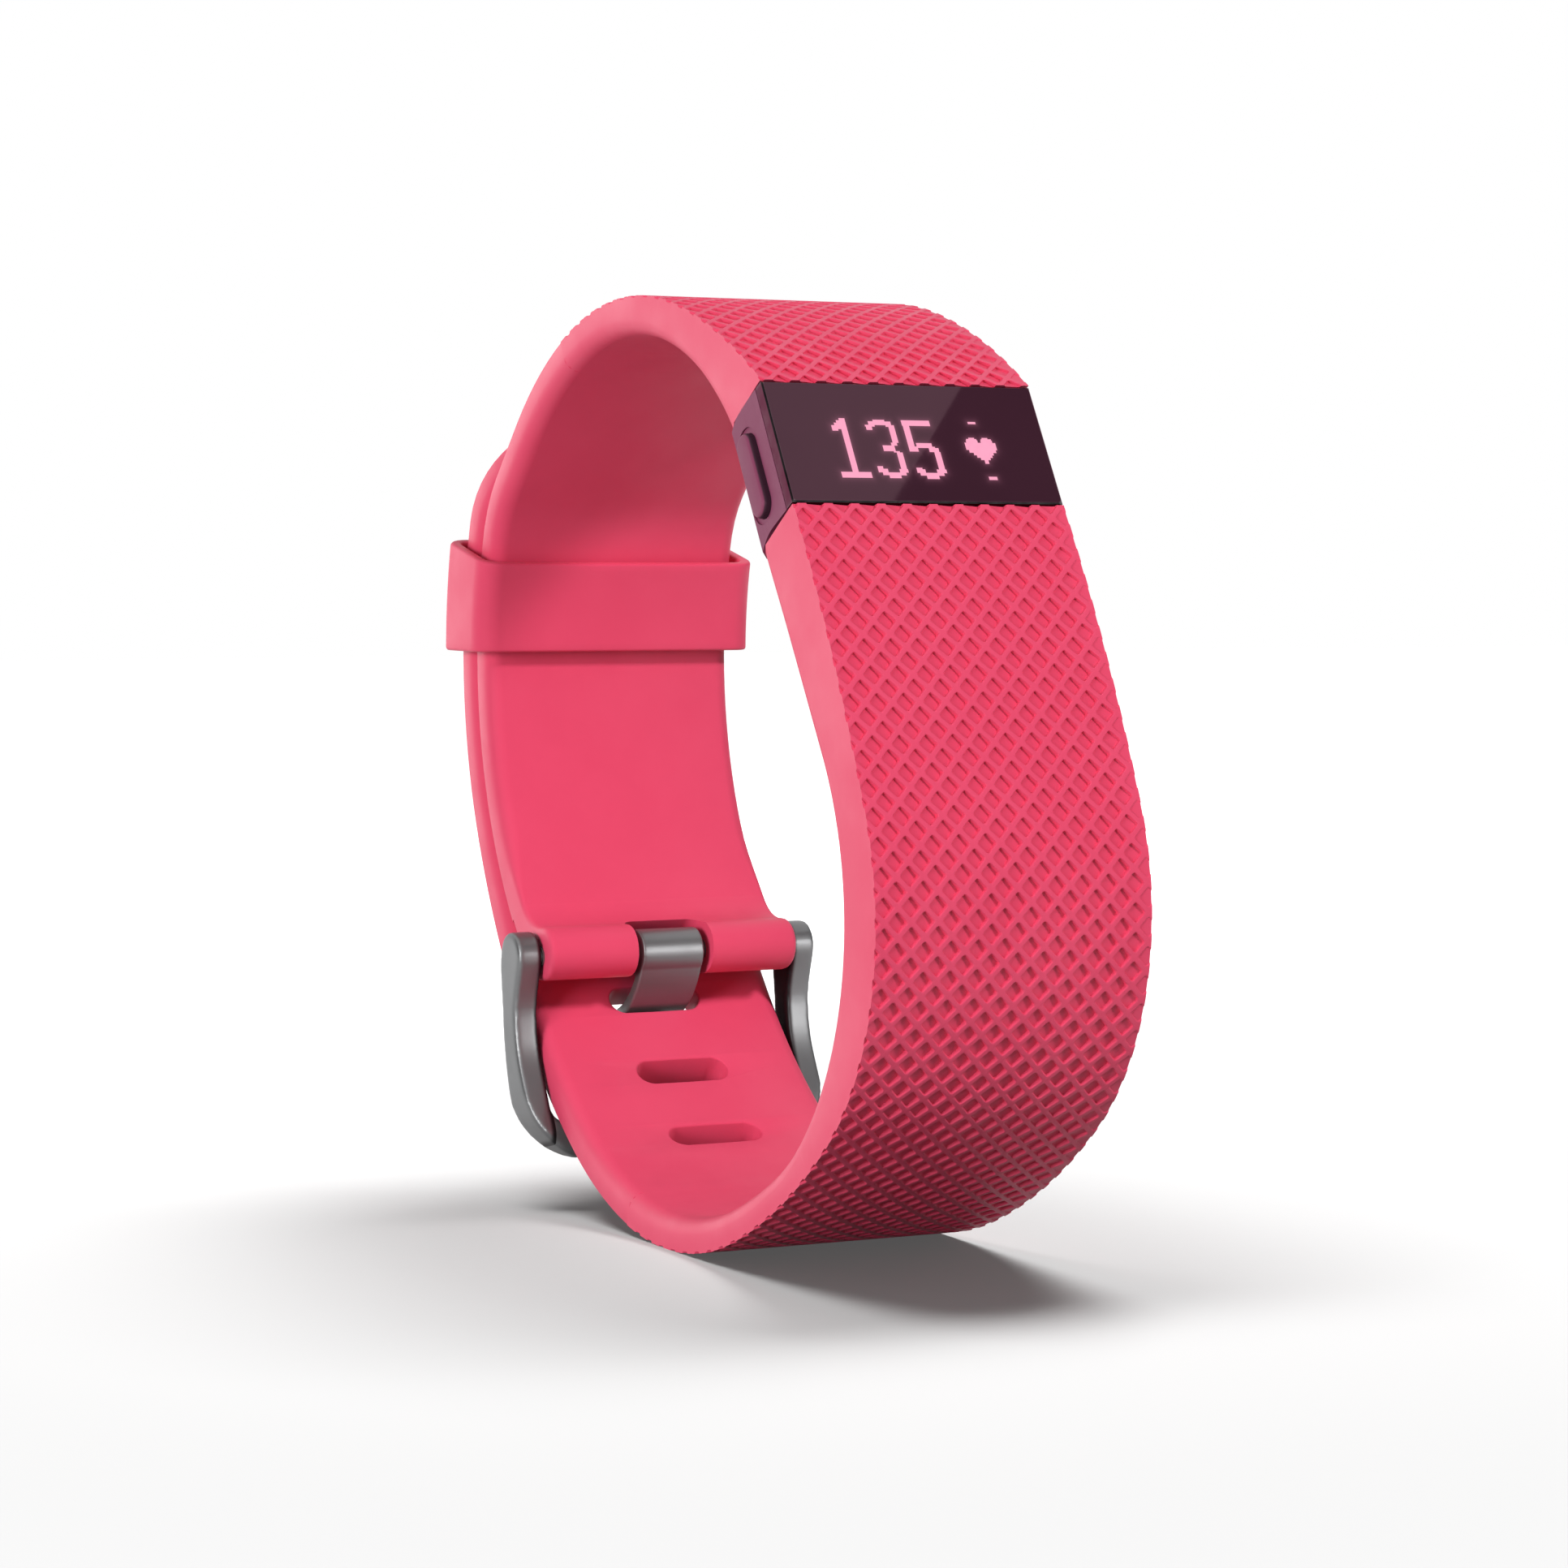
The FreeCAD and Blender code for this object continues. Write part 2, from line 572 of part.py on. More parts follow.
def module_case():
    lower, upper = seam(-MODULE_LENGTH / 2, 0), seam(MODULE_LENGTH / 2, 0)
    body = slab([lower, upper.reverse()], -HALF, HALF)
    skin = [e for e in body.Edges if on_skin_side(e)]
    body = body.makeChamfer(CASE_CHAMFER, skin)
    seat = WINDOW_THICK + ADHESIVE_THICK
    top = block((BAND_WIDTH + 2 * OVER, MODULE_LENGTH + 2 * OVER, 2 * seat), (0, 0, 0))
    body = body.cut(place_module(top))
    solid = body.fuse([place_module(wing_space(0)), place_module(motor_wing_space(0))])
    hollow = case_cavity()
    solid = solid.cut([place_module(tool) for tool in hollow])
    solid = solid.fuse([place_module(boss) for boss in screw_bosses()])
    solid = solid.cut([place_module(tool) for tool in button_pocket() + screw_holes()])
    return solid.removeSplitter()


def on_skin_side(edge):
    """True for the two edges where the case's sides meet the skin face."""
    middle = edge.CenterOfMass
    on_side = abs(abs(middle.x) - HALF) < 1e-3
    skin = module_point(-MODULE_LENGTH / 2, -MODULE_THICK)
    away = (middle.y - skin[0]) * math.sin(TILT) - (middle.z - skin[1]) * math.cos(TILT)
    return on_side and abs(away) < 1e-3


def case_cavity():
    """Electronics space, wing spaces, and the seat and opening for the rear cover."""
    low, high = LEDGE_THICK - LEDGE_W, OVER - WINDOW_THICK
    main = block((CAVITY[0], CAVITY[1], high - low), (0, 0, (low + high) / 2))
    opening = rounded_plate((*OPENING, 2 * (LEDGE_THICK + OVER)), OPENING_CORNER, (0, COVER_SHIFT, -LEDGE_W))
    deep = MODULE_THICK + OVER - LEDGE_W
    seat = rounded_plate((COVER_SIZE[0] + 2 * FIT_GAP, COVER_SIZE[1] + 2 * FIT_GAP, deep), COVER_CORNER + FIT_GAP,
                         (0, COVER_SHIFT, -LEDGE_W - deep / 2))
    inner = (WING_WIDTH - 2 * WING_WALL, WING_LENGTH + END_WALL + FIT_GAP - WING_WALL, WING_THICK - 2 * WING_WALL)
    battery = block(inner, (0, WING_WALL - MODULE_LENGTH / 2 - WING_LENGTH + inner[1] / 2,
                            -WING_DEPTH - WING_THICK / 2))
    length = MOTOR_WING_ROOT + MOTOR_WING_LENGTH - WING_WALL
    motor = block((WING_WIDTH - 2 * WING_WALL, length, MOTOR_WING_THICK - 2 * WING_WALL), (0, length / 2, 0))
    motor.Placement = motor_wing_frame()
    return [main, opening, seat, battery, motor]


def screw_spots():
    """Two opposite corners of the rear cover."""
    return [(side * SCREW_X, COVER_SHIFT - side * SCREW_U) for side in (-1, 1)]


def screw_bosses():
    floor = -LEDGE_W + LEDGE_THICK
    height = BOARD_BACK - floor + FIT_GAP
    return [Part.makeCylinder(BOSS_R, height, V(x, u, floor - FIT_GAP)) for x, u in screw_spots()]


def screw_holes():
    depth = SCREW_LENGTH + FIT_GAP
    return [Part.makeCylinder(SCREW_SHANK_R, depth, V(x, u, -MODULE_THICK)) for x, u in screw_spots()]


def button_pocket():
    """Recess, pill pocket and stem bore in the near side wall."""
    face = -HALF
    recess = pill(BUTTON_LENGTH + 2 * RECESS_MARGIN, BUTTON_WIDTH + 2 * RECESS_MARGIN, face - OVER,
                  face + RECESS_DEPTH, BUTTON_U, BUTTON_W)
    pocket = pill(BUTTON_LENGTH + 2 * RUN_CLEAR, BUTTON_WIDTH + 2 * RUN_CLEAR, face - OVER, POCKET_END,
                  BUTTON_U, BUTTON_W)
    bore = bar_x(STEM_R + RUN_CLEAR, face, FIT_GAP - CAVITY[0] / 2, BUTTON_U, STEM_W)
    seat = bar_x(SEAL_R, POCKET_END - FIT_GAP, POCKET_END + SEAL_THICK, BUTTON_U, STEM_W)
    return [recess, pocket, bore, seat]


def side_button():
    face = -HALF - BUTTON_PROUD
    head = pill(BUTTON_LENGTH, BUTTON_WIDTH, face, face + BUTTON_HEAD, BUTTON_U, BUTTON_W)
    rim = [e for e in head.Edges if e.CenterOfMass.x < face + 1e-3]
    head = head.makeChamfer(BUTTON_EDGE, rim)
    stem = bar_x(STEM_R, face + BUTTON_HEAD, STEM_END, BUTTON_U, STEM_W)
    return place_module(head.fuse(stem).removeSplitter())


def button_seal():
    ring = bar_x(SEAL_R, POCKET_END, POCKET_END + SEAL_THICK, BUTTON_U, STEM_W)
    return place_module(ring.cut(bar_x(STEM_R + RUN_CLEAR / 2, -HALF, 0, BUTTON_U, STEM_W)))


def button_switch():
    start = STEM_END + BUTTON_TRAVEL + PLUNGER_LENGTH
    body = block(SWITCH_SIZE, (start + SWITCH_SIZE[0] / 2, BUTTON_U, BOARD_BACK - SWITCH_SIZE[2] / 2))
    plunger = bar_x(PLUNGER_R, STEM_END + BUTTON_TRAVEL + PLUNGER_GAP, start + FIT_GAP, BUTTON_U, STEM_W)
    return place_module(body.fuse(plunger))


def display_window():
    plate = block((BAND_WIDTH, MODULE_LENGTH, WINDOW_THICK), (0, 0, -WINDOW_THICK / 2))
    rim = [e for e in plate.Edges if e.CenterOfMass.z > -1e-3]
    return place_module(plate.makeChamfer(WINDOW_BEVEL, rim))


def window_adhesive():
    outer = block((BAND_WIDTH - 2 * ADHESIVE_INSET, MODULE_LENGTH - 2 * ADHESIVE_INSET, ADHESIVE_THICK),
                  (0, 0, -WINDOW_THICK - ADHESIVE_THICK / 2))
    return place_module(outer.cut(block((*CAVITY, 4 * WINDOW_THICK), (0, 0, 0))))


def display_panel():
    return place_module(block(PANEL_SIZE, (0, 0, -WINDOW_THICK - PANEL_SIZE[2] / 2)))


def display_flex():
    """Ribbon folded once between panel and board."""
    outside = PANEL_TO_BOARD / 2
    inside = outside - FLEX_THICK
    middle = -WINDOW_THICK - PANEL_SIZE[2] - outside
    bend = -PANEL_SIZE[1] / 2 + outside + FIT_GAP
    fold = bar_x(outside, -FLEX_WIDTH / 2, FLEX_WIDTH / 2, bend, middle)
    flat = block((FLEX_WIDTH, FLEX_LENGTH, 2 * outside), (0, bend + FLEX_LENGTH / 2, middle))
    slot = block((FLEX_WIDTH, FLEX_LENGTH, 2 * inside), (0, bend + FLEX_LENGTH / 2, middle))
    inner = bar_x(inside, -FLEX_WIDTH / 2, FLEX_WIDTH / 2, bend, middle)
    return place_module(fold.fuse(flat).cut([slot, inner]).removeSplitter())


def circuit_board():
    return place_module(block(BOARD_SIZE, (0, 0, BOARD_BACK + BOARD_SIZE[2] / 2)))


def battery():
    middle = -MODULE_LENGTH / 2 - WING_LENGTH + WING_WALL + BATTERY_GAP + BATTERY_SIZE[1] / 2
    cell = block(BATTERY_SIZE, (0, middle, -WING_DEPTH - WING_THICK / 2))
    long_edges = [e for e in cell.Edges if abs(e.tangentAt(e.FirstParameter).y) > 0.99]
    return place_module(cell.makeFillet(BATTERY_EDGE, long_edges))


def vibration_motor():
    coin = Part.makeCylinder(MOTOR_R, MOTOR_THICK, V(0, 0, -MOTOR_THICK / 2))
    coin.translate(V(0, MOTOR_WING_ROOT + MOTOR_WING_LENGTH - WING_WALL - MOTOR_R - FIT_GAP, 0))
    coin.Placement = motor_wing_frame().multiply(coin.Placement)
    return place_module(coin)


def lens_plan(low, high):
    centre = (0, COVER_SHIFT, (low + high) / 2)
    return rounded_plate((*LENS_SIZE, high - low), LENS_CORNER, centre)


def rear_cover():
    low, high = -MODULE_THICK, -MODULE_THICK + COVER_SIZE[2]
    plate = rounded_plate(COVER_SIZE, COVER_CORNER, (0, COVER_SHIFT, (low + high) / 2))
    through = COVER_SIZE[2] + 2 * OVER
    tools = [lens_plan(low - OVER, high + OVER)]
    tools.append(rounded_plate((*SOCKET_SIZE, 2 * SOCKET_DEPTH), SOCKET_CORNER, (SOCKET_X, COVER_SHIFT, low)))
    for x, u in contact_spots():
        tools.append(Part.makeCylinder(CONTACT_R, through, V(x, u, low - OVER)))
    for x, u in screw_spots():
        tools.append(Part.makeCylinder(SCREW_SHANK_R, through, V(x, u, low - OVER)))
        tools.append(Part.makeCylinder(SCREW_HEAD_R, OVER + SCREW_HEAD, V(x, u, low - OVER)))
    return place_module(plate.cut(tools))


def cover_gasket():
    middle = -LEDGE_W - GASKET_THICK / 2
    size = (OPENING[0] + 2 * GASKET_WIDTH, OPENING[1] + 2 * GASKET_WIDTH, GASKET_THICK)
    ring = rounded_plate(size, OPENING_CORNER + FIT_GAP, (0, COVER_SHIFT, middle))
    hole = rounded_plate((*OPENING, GASKET_THICK + OVER), OPENING_CORNER, (0, COVER_SHIFT, middle))
    return place_module(ring.cut(hole))


def sensor_window():
    low = -MODULE_THICK - LENS_PROUD
    lens = lens_plan(low, -MODULE_THICK + COVER_SIZE[2])
    rim = [e for e in lens.Edges if e.CenterOfMass.z < low + 1e-3]
    return place_module(lens.makeChamfer(LENS_EDGE, rim))


def charging_contacts():
    length = BOARD_BACK + MODULE_THICK - SOCKET_DEPTH
    low = -MODULE_THICK + SOCKET_DEPTH
    pins = [Part.makeCylinder(CONTACT_R, length, V(x, u, low)) for x, u in contact_spots()]
    return place_module(Part.makeCompound(pins))


def contact_spots():
    span = CONTACT_PITCH * (CONTACT_COUNT - 1)
    return [(SOCKET_X, COVER_SHIFT - span / 2 + i * CONTACT_PITCH) for i in range(CONTACT_COUNT)]


def cover_screws():
    made = []
    for x, u in screw_spots():
        head = Part.makeCylinder(SCREW_HEAD_R, SCREW_HEAD, V(x, u, -MODULE_THICK))
        made.append(head.fuse(Part.makeCylinder(SCREW_SHANK_R, SCREW_LENGTH, V(x, u, -MODULE_THICK))))
    return place_module(Part.makeCompound(made))


def sensor_leds():
    made = []
    for side in (-1, 1):
        middle = (side * LED_SPACING / 2, COVER_SHIFT, BOARD_BACK - LED_SIZE[2] / 2)
        made.append(block(LED_SIZE, middle))
    return place_module(Part.makeCompound(made))


def photodiode():
    return place_module(block(DIODE_SIZE, (0, COVER_SHIFT, BOARD_BACK - DIODE_SIZE[2] / 2)))


def light_shield():
    """Black wall round each light and the sensor, from board to cover."""
    low = -MODULE_THICK + COVER_SIZE[2]
    middle = (low + BOARD_BACK) / 2
    height = BOARD_BACK - low
    bay = DIODE_SIZE[1] + 2 * FIT_GAP
    wide = LED_SPACING + LED_SIZE[0] + 2 * FIT_GAP + 2 * SHIELD_WALL
    solid = block((wide, bay + 2 * SHIELD_WALL, height), (0, COVER_SHIFT, middle))
    tools = [block((DIODE_SIZE[0] + 2 * FIT_GAP, bay, height + OVER), (0, COVER_SHIFT, middle))]
    for side in (-1, 1):
        spot = (side * LED_SPACING / 2, COVER_SHIFT, middle)
        tools.append(block((LED_SIZE[0] + 2 * FIT_GAP, bay, height + OVER), spot))
    return place_module(solid.cut(tools))


# ---- buckle and keeper ----

def eye_middle():
    """Middle of the round end of each arm."""
    py, pz = pin_axis()
    return py + FRAME_EYE_OUT, pz


def bar_middle():
    """Middle of the far bar, off the strap's outer face by its gap."""
    off = BAR_GAP + FRAME_THICK / 2
    eye, outer = eye_middle(), long_outer()

    def middle(point, heading):
        out = unit(heading - 90)
        return point[0] + off * out[0], point[1] + off * out[1]

    spot = outer.solve(outer.reach(BAR_SEARCH), outer.reach(PIN_ANGLE),
                       lambda point, heading: FRAME_LENGTH - math.dist(eye, middle(point, heading)))
    return middle(*outer.at(spot))


def frame_heading():
    """Direction from the arms' round ends to the far bar."""
    eye, bar = eye_middle(), bar_middle()
    return math.degrees(math.atan2(bar[1] - eye[1], bar[0] - eye[0]))


def frame_line():
    """Middle line of the arms from their round ends to the far bar."""
    heading = frame_heading()
    half = math.degrees(2 * math.atan2(2 * FRAME_BOW, FRAME_LENGTH))
    radius = FRAME_LENGTH / 2 / math.sin(math.radians(half))
    return Outline(eye_middle(), heading + half).arc(radius, -2 * half)


def ring_profile(line, thick):
    """Band of a thickness along a line, with round ends."""
    side = line.offset(thick / 2)
    other = line.offset(-thick / 2).reverse()
    end = Outline(side.point, side.heading).arc(thick / 2, -180)
    start = Outline(other.point, other.heading).arc(thick / 2, -180)
    return [side, end, other, start]


def buckle_frame():
    line = frame_line()
    wide = HALF + FRAME_SIDE
    solid = slab(ring_profile(line, FRAME_THICK), -wide - ARM_WIDTH, wide + ARM_WIDTH)
    out = FRAME_LENGTH + BAR_WIDTH / 2
    back, deep = 2 * FRAME_EYE_R, 2 * ARM_WIDTH + FRAME_THICK
    plan = Part.makeBox(2 * (wide + ARM_WIDTH), out + back, 2 * deep, V(-wide - ARM_WIDTH, -back, -deep))
    corners = [e for e in plan.Edges if abs(e.tangentAt(e.FirstParameter).z) > 0.99 and e.CenterOfMass.y > 0]
    plan = plan.makeFillet(FRAME_CORNER, corners)
    hole = Part.makeBox(2 * wide, out + back + OVER - BAR_WIDTH, 4 * deep, V(-wide, -back - OVER, -2 * deep))
    corners = [e for e in hole.Edges if abs(e.tangentAt(e.FirstParameter).z) > 0.99 and e.CenterOfMass.y > 0]
    hole = hole.makeFillet(FRAME_INNER_CORNER, corners)
    plan = plan.cut(hole)
    plan.Placement = FreeCAD.Placement(V(0, *eye_middle()), FreeCAD.Rotation(ALONG_X, frame_heading()))
    solid = solid.common(plan)
    py, pz = pin_axis()
    for side in (-1, 1):
        low, high = sorted((side * wide, side * (wide + ARM_WIDTH)))
        solid = solid.fuse(bar_x(FRAME_EYE_R, low, high, *eye_middle()))
    solid = solid.removeSplitter()
    for side in (-1, 1):
        low, high = sorted((side * wide, side * (wide + PIN_SEAT)))
        solid = solid.cut(bar_x(PIN_TIP_R, low, high, py, pz))
    return solid


def buckle_pin():
    py, pz = pin_axis()
    body = HALF + FRAME_SIDE / 2
    tips = HALF + FRAME_SIDE + PIN_SEAT - RUN_CLEAR
    return bar_x(PIN_R, -body, body, py, pz).fuse(bar_x(PIN_TIP_R, -tips, tips, py, pz)).removeSplitter()


def tongue_line():
    """Middle line of the tongue from beside the pin, through its slot, to past the bar."""
    (y, z), heading = slot_place(long_inner(), SLOT_IN_USE)
    out = unit(heading - 90)
    middle = (y + out[0] * STRAP_THICK / 2, z + out[1] * STRAP_THICK / 2)
    py, pz = pin_axis()
    arm = TONGUE_EYE_R - TONGUE_THICK / 2
    far = math.dist((py, pz), middle)
    aim = math.degrees(math.atan2(middle[1] - pz, middle[0] - py)) + math.degrees(math.asin(arm / far))
    side = unit(aim - 90)
    line = Outline((py + arm * side[0], pz + arm * side[1]), aim)
    line.line(math.sqrt(far * far - arm * arm) + TONGUE_PAST_SLOT)
    bar = frame_line()
    rest = unit(bar.heading + 90)
    above = FRAME_THICK / 2 + TONGUE_REST + TONGUE_THICK / 2
    target = (bar.point[0] + above * rest[0], bar.point[1] + above * rest[1])
    return line.bend_to(target, TONGUE_BEND_R).line(TONGUE_OVER)


def buckle_tongue():
    line = tongue_line()
    strip = slab(ring_profile(line, TONGUE_THICK), -TONGUE_WIDTH / 2, TONGUE_WIDTH / 2)
    py, pz = pin_axis()
    eye = bar_x(TONGUE_EYE_R, -TONGUE_WIDTH / 2, TONGUE_WIDTH / 2, py, pz)
    solid = strip.fuse(eye)
    return solid.cut(bar_x(PIN_R + RUN_CLEAR, -TONGUE_WIDTH, TONGUE_WIDTH, py, pz)).removeSplitter()


def keeper_loop():
    """Rectangular loop round both strap layers, bent along the back circle."""
    half = math.degrees(KEEPER_LENGTH / BACK_R / 2)
    inner_x = HALF + KEEPER_CLEAR
    inner_r, outer_r = DEEP_R - KEEPER_CLEAR, TAIL_OUT_R + KEEPER_CLEAR

    def section(grow, corner):
        low, high = inner_r - grow, outer_r + grow
        wide = inner_x + grow
        plate = Part.makeBox(2 * wide, high - low, OVER, V(-wide, BACK_Y + low, 0))
        upright = [e for e in plate.Edges if abs(e.tangentAt(e.FirstParameter).z) > 0.99]
        plate = corner(plate, upright)
        face = [f for f in plate.Faces if f.CenterOfMass.z < 1e-6][0]
        face.translate(V(0, 0, BACK_Z))
        return face.revolve(V(0, BACK_Y, BACK_Z), ALONG_X, 2 * half)

    outside = section(KEEPER_WALL, lambda plate, edges: plate.makeFillet(KEEPER_CORNER, edges))
    solid = outside.cut(section(0, lambda plate, edges: plate.makeChamfer(KEEPER_CLEAR, edges)))
    solid.rotate(V(0, BACK_Y, BACK_Z), ALONG_X, KEEPER_ANGLE - half)
    return solid


PARTS = {
    "display_window": display_window,
    "window_adhesive": window_adhesive,
    "display_panel": display_panel,
    "display_flex": display_flex,
    "circuit_board": circuit_board,
    "battery": battery,
    "vibration_motor": vibration_motor,
    "module_case": module_case,
    "side_button": side_button,
    "button_seal": button_seal,
    "button_switch": button_switch,
    "rear_cover": rear_cover,
    "cover_gasket": cover_gasket,
    "cover_screws": cover_screws,
    "sensor_window": sensor_window,
    "sensor_leds": sensor_leds,
    "photodiode": photodiode,
    "light_shield": light_shield,
    "charging_contacts": charging_contacts,
    "long_strap": long_strap,
    "short_strap": short_strap,
    "buckle_frame": buckle_frame,
    "buckle_pin": buckle_pin,
    "buckle_tongue": buckle_tongue,
    "keeper_loop": keeper_loop,
}

os.makedirs("parts", exist_ok=True)
for name, make in PARTS.items():
    make().exportStep("parts/" + name + ".step")
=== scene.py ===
"""Fitness tracker band: soft textured straps, tinted display module, sliding keeper and steel pin buckle.

Sizes are in millimetres and are scaled to metres where a piece is placed. X runs across the band, -Y is the
display side, +Y the buckle side and +Z is up.
"""

import logging
import math
from contextlib import contextmanager
from dataclasses import dataclass, field
from enum import Enum
from typing import Callable, Iterator

import bmesh
import bpy
from mathutils import Matrix, Vector

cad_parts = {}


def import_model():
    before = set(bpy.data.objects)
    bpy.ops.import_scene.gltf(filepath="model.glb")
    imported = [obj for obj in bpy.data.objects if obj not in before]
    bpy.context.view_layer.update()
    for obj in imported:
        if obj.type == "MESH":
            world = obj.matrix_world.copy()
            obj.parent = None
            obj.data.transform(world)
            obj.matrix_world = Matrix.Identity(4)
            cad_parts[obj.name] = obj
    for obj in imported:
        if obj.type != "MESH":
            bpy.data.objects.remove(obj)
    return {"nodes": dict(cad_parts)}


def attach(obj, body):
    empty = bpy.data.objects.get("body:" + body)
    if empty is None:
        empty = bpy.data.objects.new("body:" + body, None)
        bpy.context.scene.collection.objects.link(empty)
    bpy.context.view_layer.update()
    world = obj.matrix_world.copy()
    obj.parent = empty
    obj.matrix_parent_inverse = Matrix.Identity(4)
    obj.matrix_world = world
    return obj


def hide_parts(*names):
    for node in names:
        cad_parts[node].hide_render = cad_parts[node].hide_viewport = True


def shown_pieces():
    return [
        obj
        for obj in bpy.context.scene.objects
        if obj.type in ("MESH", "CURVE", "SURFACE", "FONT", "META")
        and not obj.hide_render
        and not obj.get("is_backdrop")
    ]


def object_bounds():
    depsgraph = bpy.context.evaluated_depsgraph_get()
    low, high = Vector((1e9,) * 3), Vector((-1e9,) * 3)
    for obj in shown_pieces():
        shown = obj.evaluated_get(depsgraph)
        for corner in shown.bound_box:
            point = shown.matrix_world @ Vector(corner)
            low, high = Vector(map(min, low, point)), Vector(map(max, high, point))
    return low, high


LOG = logging.getLogger("band")
MM = 0.001
NEAR = 1e-4
HALVINGS = 40
Point = tuple[float, float]
Triple = tuple[float, float, float]
Colour = Triple
Rect = tuple[float, float, float, float]
Piece = bpy.types.Object
Tree = bpy.types.NodeTree
Node = bpy.types.Node
Socket = bpy.types.NodeSocket
Edge = bmesh.types.BMEdge

# Lit rectangles of each figure in mm: left, right, top and bottom from the window's upper left corner.
FIGURES: dict[str, tuple[Rect, ...]] = {
    "one": ((5.15, 5.6, 2.88, 3.05), (4.9, 5.6, 3.05, 3.25), (4.7, 5.6, 3.25, 3.45), (4.45, 5.6, 3.45, 3.75),
            (4.45, 4.9, 3.75, 3.88), (5.15, 5.6, 3.75, 7.15), (4.25, 6.55, 7.15, 7.6)),
    "three": ((7.75, 8.65, 2.95, 3.08), (7.35, 9.1, 3.08, 3.37), (7.05, 7.8, 3.37, 3.5), (8.65, 9.3, 3.37, 3.5),
              (7.1, 7.55, 3.5, 3.77), (8.85, 9.3, 3.5, 4.77), (8.7, 9.15, 4.77, 5.0), (8.0, 8.9, 5.0, 5.45),
              (8.75, 9.2, 5.45, 5.55), (8.95, 9.4, 5.55, 6.67), (7.15, 7.57, 6.67, 6.87), (8.95, 9.4, 6.67, 6.87),
              (7.15, 7.9, 6.87, 7.15), (8.8, 9.45, 6.87, 7.15), (7.45, 9.25, 7.15, 7.37), (7.9, 8.8, 7.37, 7.6)),
    "five": ((9.95, 12.15, 2.95, 3.38), (10.0, 10.48, 3.38, 5.05), (10.65, 11.85, 4.77, 5.05),
             (10.0, 12.05, 5.05, 5.15), (10.0, 10.7, 5.15, 5.45), (11.55, 12.3, 5.15, 5.47),
             (11.9, 12.37, 5.47, 6.87), (10.15, 10.6, 6.75, 6.87), (10.15, 10.8, 6.87, 7.15),
             (11.7, 12.45, 6.87, 7.15), (10.35, 12.2, 7.15, 7.37), (10.8, 11.75, 7.37, 7.63)),
    "heart": ((14.9, 15.35, 4.27, 4.37), (15.95, 16.4, 4.27, 4.37), (14.7, 15.5, 4.37, 4.47),
              (15.85, 16.65, 4.37, 4.47), (14.65, 15.55, 4.47, 4.67), (15.8, 16.7, 4.47, 4.67),
              (14.5, 16.92, 4.67, 5.25), (14.7, 16.8, 5.25, 5.47), (15.0, 16.55, 5.47, 5.67),
              (15.2, 16.4, 5.67, 5.87), (15.45, 16.2, 5.87, 6.05), (15.7, 16.0, 6.05, 6.35)),
    "dashes": ((15.2, 15.8, 2.98, 3.15), (15.65, 16.3, 7.4, 7.65)),
}


class Target(Enum):
    """What a lamp lights."""

    BAND = "band"
    STRAP = "strap"
    STEEL = "steel"
    FLOOR = "floor"


class Ray(Enum):
    """Kinds of ray that the studio treats apart, as the light path node names them."""

    CAMERA = "Is Camera Ray"
    GLOSSY = "Is Glossy Ray"
    THROUGH = "Is Transmission Ray"


# ---------------------------------------------------------------- outlines


def unit(degrees: float) -> Point:
    """Unit vector (y, z) at an angle from +Y towards +Z."""
    angle = math.radians(degrees)
    return math.cos(angle), math.sin(angle)


def ahead(start: Point, degrees: float, distance: float) -> Point:
    """Point at an angle and a distance from another."""
    c, s = unit(degrees)
    return start[0] + distance * c, start[1] + distance * s


def bearing(start: Point, end: Point) -> float:
    """Angle in degrees from one point to another."""
    return math.degrees(math.atan2(end[1] - start[1], end[0] - start[0]))


def smooth(share: float) -> float:
    """Share from 0 to 1 that starts and ends softly."""
    return share * share * (3 - 2 * share)


@dataclass(frozen=True)
class Run:
    """One arc or line of an outline. A sweep of 0 marks a line, whose size is its length."""

    point: Point
    heading: float
    size: float
    sweep: float

    @property
    def length(self) -> float:
        """Length along the run."""
        return self.size * math.radians(abs(self.sweep)) if self.sweep else self.size

    @property
    def centre(self) -> Point:
        """Centre of an arc."""
        c, s = unit(self.heading)
        side = math.copysign(self.size, self.sweep)
        return self.point[0] - s * side, self.point[1] + c * side

    def at(self, share: float) -> tuple[Point, float]:
        """Point and heading part of the way along.

        Args:
            share: 0 at the start, 1 at the end; values beyond carry on along the run.
        Returns:
            The (y, z) point and the heading there in degrees.
        """
        if not self.sweep:
            return ahead(self.point, self.heading, self.size * share), self.heading
        cy, cz = self.centre
        c, s = unit(self.sweep * share)
        dy, dz = self.point[0] - cy, self.point[1] - cz
        return (cy + dy * c - dz * s, cz + dy * s + dz * c), self.heading + self.sweep * share


